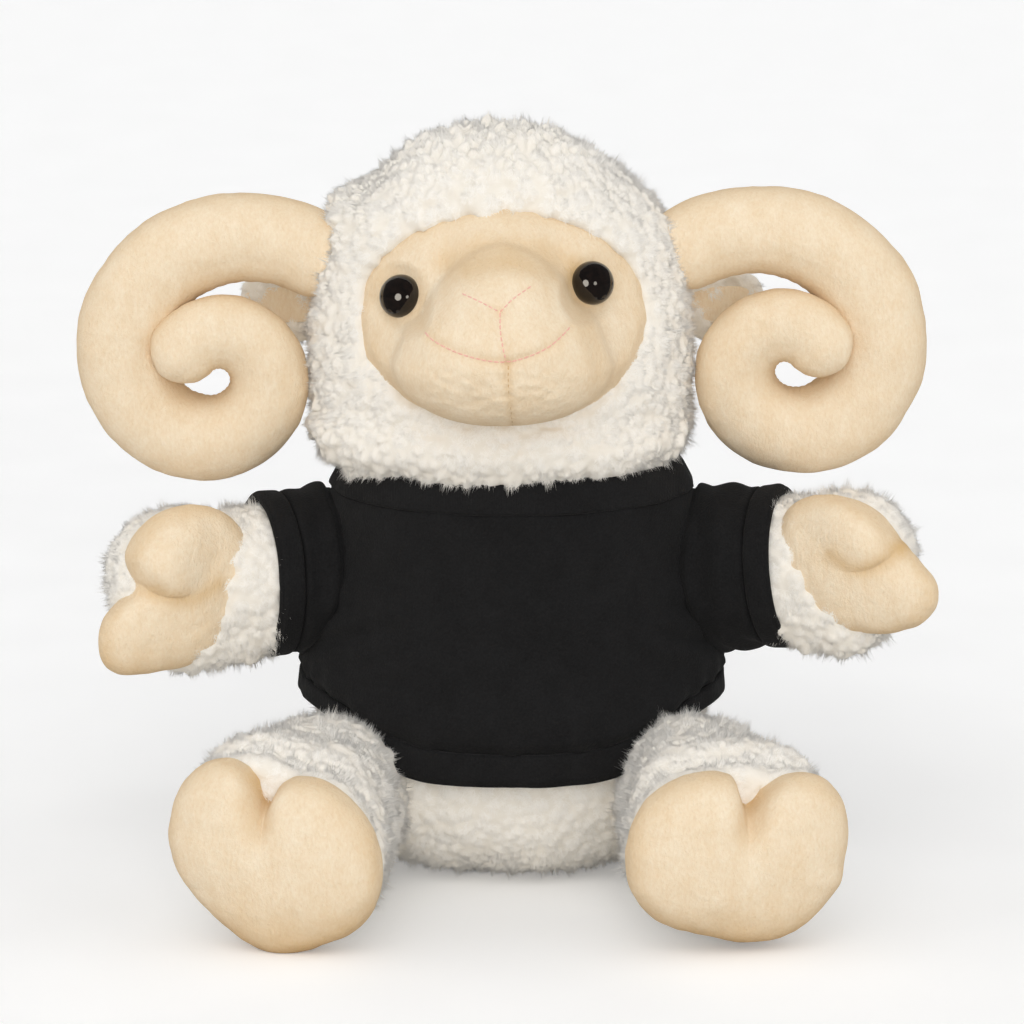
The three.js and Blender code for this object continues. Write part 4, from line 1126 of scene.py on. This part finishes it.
def make_leg(side):
    leg = leg_frame(side)
    outline = SOLES[side]
    steps, fine = ((200, 2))
    turn = turns(steps)
    without_notch = outline_at([(a, r) for a, r in outline if not 60 < a < 95], turn)
    # The base is thinner than the leg by its pile, and ends a little inside the sole's outline.
    ball, sole = LEG["ball"] - 2.4, without_notch * 0.95 - 2.2
    stations = [(-ball * math.sin(climb), ball * math.cos(climb) * np.ones(steps))
                for climb in np.radians(np.linspace(-88, -3, 12 * fine))]
    stations += [(-share * LEG["length"], ball + (sole - ball) * np.interp(share, LEG_STATIONS, LEG_BLENDS))
                 for share in np.linspace(0, 1, 40 * fine)]
    stations += [(-LEG["length"] - 2.5 * math.sqrt(1 - share**2), sole * share)
                 for share in np.linspace(0.97, 0.05, 24 * fine)]
    turn = np.radians(turn)
    base = Skin([np.stack([r * np.cos(turn), np.full(steps, y), r * np.sin(turn)], 1) for y, r in stations])
    y, z = base.points[:, 1:].T
    base.push(3.2 * smoothstep(4, 17, z) * smoothstep(2, -12, y) * smoothstep(-47, -36, y))
    base.place(leg.out).flatten_under(0.35)

    def in_the_open(place):
        own = leg.back(place)
        edge = outline_at(outline, np.degrees(np.arctan2(own[:, 2], own[:, 0])))
        clear = (own[:, 1] > -LEG["length"] + 0.5) | (np.hypot(own[:, 0], own[:, 2]) > edge - 7)
        return clear & (place[:, 2] > 1.2) & (own[:, 1] < 12)

    add_wool(f"leg_{side}", base, f"leg_{side}", 83, [f"leg_cover_{side}", f"leg_stuffing_{side}"],
             keep=in_the_open, lean=steadily(leg.way(np.array([0, -0.5, 0])) + [0, 0, 0.1]))
    pad = pad_skin(outline, bulge=11.5, sink=5, power=2.4, seed=91, cleft=SOLE_CREASES[side], low=0.6)
    pad.place(lambda points: leg.out(points + [0, -LEG["length"] - 4.3, 0])).flatten_under(0.05)
    add_skin(f"sole_{side}", pad, PLUSH, f"leg_{side}", [f"sole_pad_{side}"])


for side in SIDES:
    make_leg(side)

# ---- Tail


def make_tail():
    height, gap, reach, half_length, half_width, half_height, droop = 20, 1.8, 7, 7.6, 7.6, 8.4, 18
    turn, climb = np.radians(turns(80)), np.radians(np.linspace(-88, 88, 50))[:, None]
    out = TORSO["deep"] * float(egg_share(TORSO, height - TORSO["middle"])) + gap
    x, z = np.cos(climb) * half_width * np.cos(turn), np.cos(climb) * half_height * np.sin(turn)
    skin = Skin(np.stack([x, reach + half_length * np.sin(climb) + 0 * turn, z], -1))
    tail = Frame(turn_matrix("x", -droop), [0, out, height])
    add_wool("tail", skin.place(tail.out), "tail", 55, ["tail"], height=2.4, spacing=2.8,
             lean=steadily([0, 0.5, -0.5]))


make_tail()

# ---- T-shirt

# How the T-shirt narrows, at shares of the way up.
SHIRT_HEIGHTS = [0, 0.3, 0.65, 1]
SHIRT_WIDTHS = [1, 0.965, 0.895, 0.857]


def shirt_outline(turn, share):
    """The T-shirt's outer surface, at a turn round the body and a share of the way up from the hem's seam."""
    wide = np.interp(share, SHIRT_HEIGHTS, SHIRT_WIDTHS)
    height = hem_height(turn, HEM_SEAM)
    z = height + (SHIRT["neck_seam"] - height) * share
    c, s = np.cos(np.radians(turn)), np.sin(np.radians(turn))
    return np.stack([SHIRT["wide"] * wide * c, SHIRT["deep"] * wide * s, z], -1)


def shell(outer, wall, inward):
    """A closed shell of this wall from rings of its outer side. inward gives each point's way in."""
    inner = outer + inward * wall
    return Skin(np.concatenate([outer, inner[::-1]]), ends="joined")


def shirt_folds(points, turn, share):
    """How far the cloth stands out: soft folds from the armpits, and fullness above the hem."""
    folds = 0.55 * smooth_noise(points * [0.6, 0.6, 1.4], 9, 101) + 0.25 * smooth_noise(points, 4, 102)
    from_side = 90 - np.abs(np.mod(turn, 180) - 90)
    pit = np.exp(-((from_side - 28) / 26) ** 2) * np.exp(-((share - 0.33) / 0.2) ** 2)
    creases = np.sin((points[:, :, 2] + np.abs(points[:, :, 0]) * 0.55) * 2 * np.pi / 8.5
                     + 1.5 * smooth_noise(points, 14, 103))
    full = 1.5 * smoothstep(0.30, 0.04, share) - 1.4 * smoothstep(0.05, 0.0, share)
    gathers = 0.35 * np.sin(np.radians(turn) * 34 + 2 * smooth_noise(points, 12, 104)) * smoothstep(0.2, 0.02, share)
    return folds * smoothstep(1.0, 0.85, share) + creases * pit * 0.9 + full + gathers


def make_shirt_body():
    turn, share = np.meshgrid(turns(288), np.linspace(0, 1, 70))
    outer = shirt_outline(turn, share)
    inward = unit(-outer * [1, 1, 0])
    outer = outer - inward * shirt_folds(outer, turn, share)[..., None]
    body = add_skin("shirt_torso", shell(outer, 1.0, inward), JERSEY, "torso", ["shirt_body"])


BAND_CLOTH = 0.75


def folded_profile(height, bulge):
    """A knit band folded in two, in section: how far along from its seam, and how far out, going round the cloth."""
    share = np.linspace(0, 1, 14)
    roll = bulge * np.sqrt(np.maximum(0, 1 - np.abs(2 * share - 1) ** 6))
    thick, gap = BAND_CLOTH, 0.25
    bend = np.radians(np.linspace(80, -80, 7))
    half = thick + gap / 2
    outer = [(height * s, r) for s, r in zip(share, roll)]
    fold = [(height + half * math.cos(b), -half + half * math.sin(b)) for b in bend]
    inner = [(height * s, -2 * thick - gap) for s in share[::-1]]
    inside = [(height * s, -thick - gap) for s in share[::2]]
    crook = [(height + gap / 2 * math.cos(b), -half + gap / 2 * math.sin(b)) for b in bend[::-3]]
    under = [(height * s, -thick + r) for s, r in zip(share[::-2], roll[::-2])]
    return np.array(outer + fold + inner + inside + crook + under)


def band(name, seam, edge, wide, deep, bulge, flare, node, seed):
    """A folded band of knit round the body, from its seam to its free edge, which is its fold."""
    turn = np.radians(turns(len(seam)))
    height = 8
    along, out = folded_profile(height, bulge).T[:, :, None]
    along = along / height
    z = seam + (edge - seam) * along
    spots = np.stack([wide * np.cos(turn) + 0 * z, deep * np.sin(turn) + 0 * z, z], -1)
    out = out + flare * along + 0.55 * smooth_noise(spots * [1, 1, 0.4], 8, seed)
    out = out + 0.18 * smooth_noise(spots, 3, seed + 1)
    points = np.stack([(wide + out) * np.cos(turn), (deep + out) * np.sin(turn), z + 0 * out], -1)
    piece = add_skin(name, Skin(points, ends="joined"), RIB, "torso", [node])


def make_bands():
    turn = turns(288)
    band("shirt_hem_band", hem_height(turn, HEM_SEAM) + 0.2, hem_height(turn, HEM_EDGE) + 0.9, SHIRT["wide"],
         SHIRT["deep"], 0.9, 0.5, "shirt_hem", 111)
    top = SHIRT_WIDTHS[-1]
    seam = np.full(len(turn), SHIRT["neck_seam"] - 0.2)
    band("shirt_collar_band", seam, seam + SHIRT["collar"] - 0.6 - 0.5 * np.cos(2 * np.radians(turn)),
         SHIRT["wide"] * top, SHIRT["deep"] * top, 1.0, -3.4, "shirt_collar", 113)


make_shirt_body()
make_bands()


def make_sleeve(side):
    """A sleeve starts where the arm meets the body of the shirt, and ends in a doubled band."""
    carry = arm_frame(side).out
    turn = np.radians(turns(120))
    end, hem, clearance, tuck = {"left": 10.0, "right": 16.6}[side], 5.6, 1.6, 2.2
    # The root is where each line along the arm first leaves the body of the shirt, and the cloth starts inside it.
    tries = np.linspace(-16, 10, 105)
    size = ARM["ball"] + clearance
    lines = carry(upright_ring(*np.broadcast_arrays(tries, size, size, turn[:, None])).reshape(-1, 3))
    share = (lines[:, 2] - SHIRT["hem_seam"]) / (SHIRT["neck_seam"] - SHIRT["hem_seam"])
    wide = np.interp(np.clip(share, 0, 1), SHIRT_HEIGHTS, SHIRT_WIDTHS)
    level = np.hypot(lines[:, 0] / (SHIRT["wide"] * wide), lines[:, 1] / (SHIRT["deep"] * wide))
    outside = (level > 1).reshape(len(turn), len(tries))
    root = np.where(outside.any(1), tries[outside.argmax(1)], 0)
    root = evened(np.concatenate([root[-6:], root, root[:6]]), 6, 3.0)
    share = np.linspace(0, 1, 44)[:, None]
    x = (root - tuck) + (end - (root - tuck)) * share
    radius = np.interp(x, [0, ARM["wrist_at"]], [ARM["ball"], ARM["wrist"]]) + clearance
    radius = radius + 0.9 * np.sin(np.pi * np.clip(share, 0, 1)) ** 0.8
    radius = radius - 1.1 * np.exp(-((x - root - 0.6) / 1.0) ** 2)
    radius = radius - 0.9 * smoothstep(0.93, 1.0, share)
    spots = upright_ring(x, radius, radius, turn)
    pleats = np.sin(x * 2 * np.pi / 7.5 + 1.3 * np.sin(turn + 0.6) + 2.6 * smooth_noise(spots, 13, 121)) * 0.5
    radius = radius + pleats * smoothstep(0.05, 0.25, share) * smoothstep(1.0, 0.8, share)
    radius = radius + 0.45 * smooth_noise(spots * [1.4, 1, 1], 7, 122)
    outer = upright_ring(x, radius, radius, turn)
    skin = shell(outer, 0.9, unit(-outer * [0, 1, 1])).place(carry)
    sleeve = add_skin(f"sleeve_cloth_{side}", skin, JERSEY, None, [f"sleeve_{side}"])
    blend_between(sleeve, "torso", f"arm_{side}", *carry(np.array([[-6.0, 0, 0], [9.0, 0, 0]])))
    along, out = folded_profile(hem, 1.2).T[:, :, None]
    x = end - 0.2 + along + 0 * turn
    spots = upright_ring(x, ARM["ball"] + 0 * x, ARM["ball"] + 0 * x, turn)
    radius = np.interp(x, [0, ARM["wrist_at"]], [ARM["ball"], ARM["wrist"]]) + 1.3 + out + 0.5 * along / hem
    radius = radius + 0.4 * smooth_noise(spots * [0.3, 1, 1], 8, 123) + 0.15 * smooth_noise(spots, 3, 124)
    skin = Skin(upright_ring(x, radius, radius, turn), ends="joined").place(carry)
    cuff = add_skin(f"sleeve_band_{side}", skin, RIB, f"arm_{side}", [f"sleeve_hem_{side}"])


for side in SIDES:
    make_sleeve(side)

# ---- Floor and light


def make_stage():
    mesh = bpy.data.meshes.new("floor")
    half = 8000 * MM
    mesh.from_pydata([(-half, -half, 0), (half, -half, 0), (half, half, 0), (-half, half, 0)], [], [(0, 1, 2, 3)])
    link_object("floor", mesh)
    f = Finish("floor", 0.95, specular=0.0)
    # The paper glows a little for the camera alone, so that it is as pale as the photograph's background.
    seen = f.node("LightPath").outputs["Is Camera Ray"]
    f.set(Emission_Color=(1, 1, 1, 1))
    f.feed(f.shader.inputs["Emission Strength"], f.times(seen, 0.18))
    paper = f.ramp(f.noise(40, 2.0), (0.3, srgb(243, 243, 243)), (0.7, srgb(247, 247, 247)))
    mirrored = f.node("LightPath").outputs["Is Glossy Ray"]
    # It throws less light back up than it shows, so that the undersides are shaded.
    paper = f.mix(seen, srgb(216, 214, 210), paper)
    mesh.materials.append(f.colour(f.mix(mirrored, paper, srgb(110, 108, 105))))


def aim(lamp, way):
    """Turns a lamp so that its light comes from this way."""
    lamp.rotation_euler = Vector(way).to_track_quat("Z", "Y").to_euler()


def add_sun(name, turn, height, spread, strength):
    """Soft parallel light. turn is where it comes from, measured from the front to the right, and strength is
    what it adds to a white wall that faces it."""
    data = bpy.data.lights.new(name, "SUN")
    data.angle, data.energy = math.radians(spread), strength * math.pi
    lamp = link_object(name, data)
    lamp.visible_glossy = False
    t, h = math.radians(turn), math.radians(height)
    aim(lamp, (math.sin(t) * math.cos(h), -math.cos(t) * math.cos(h), math.sin(h)))


def add_glint(name, place, size, power):
    """A disc that is only mirrored, and lights nothing."""
    data = bpy.data.lights.new(name, "AREA")
    data.shape, data.size, data.energy, data.color = "DISK", size * MM, power, (1, 0.92, 0.8)
    lamp = link_object(name, data)
    lamp.visible_diffuse = False
    lamp.location = Vector(place) * MM
    aim(lamp, Vector(place) - Vector((0, 0, 140)))


def make_light():
    add_sun("key", -12, 46, 50, 0.19)
    add_sun("front", 5, 8, 34, 0.36)
    add_sun("side_left", -82, 24, 60, 0.15)
    add_sun("side_right", 82, 24, 60, 0.15)
    add_glint("glint_left", (-450, -1000, 330), 620, 9.0)
    add_glint("glint_right", (450, -1000, 330), 300, 1.6)
    world = bpy.data.worlds.new("world")
    bpy.context.scene.world = world
    world.use_nodes = True
    back = world.node_tree.nodes["Background"]
    back.inputs["Color"].default_value = (1, 1, 1, 1)
    # Mirrored in the eyes and the cloth, the room is darker than the paper walls.
    links, path = world.node_tree.links, world.node_tree.nodes.new("ShaderNodeLightPath")
    dim = world.node_tree.nodes.new("ShaderNodeMapRange")
    dim.inputs["To Min"].default_value, dim.inputs["To Max"].default_value = 0.53, 0.1
    links.new(path.outputs["Is Glossy Ray"], dim.inputs["Value"])
    links.new(dim.outputs[0], back.inputs["Strength"])


make_stage()
make_light()
bpy.context.scene.view_settings.view_transform = "Standard"
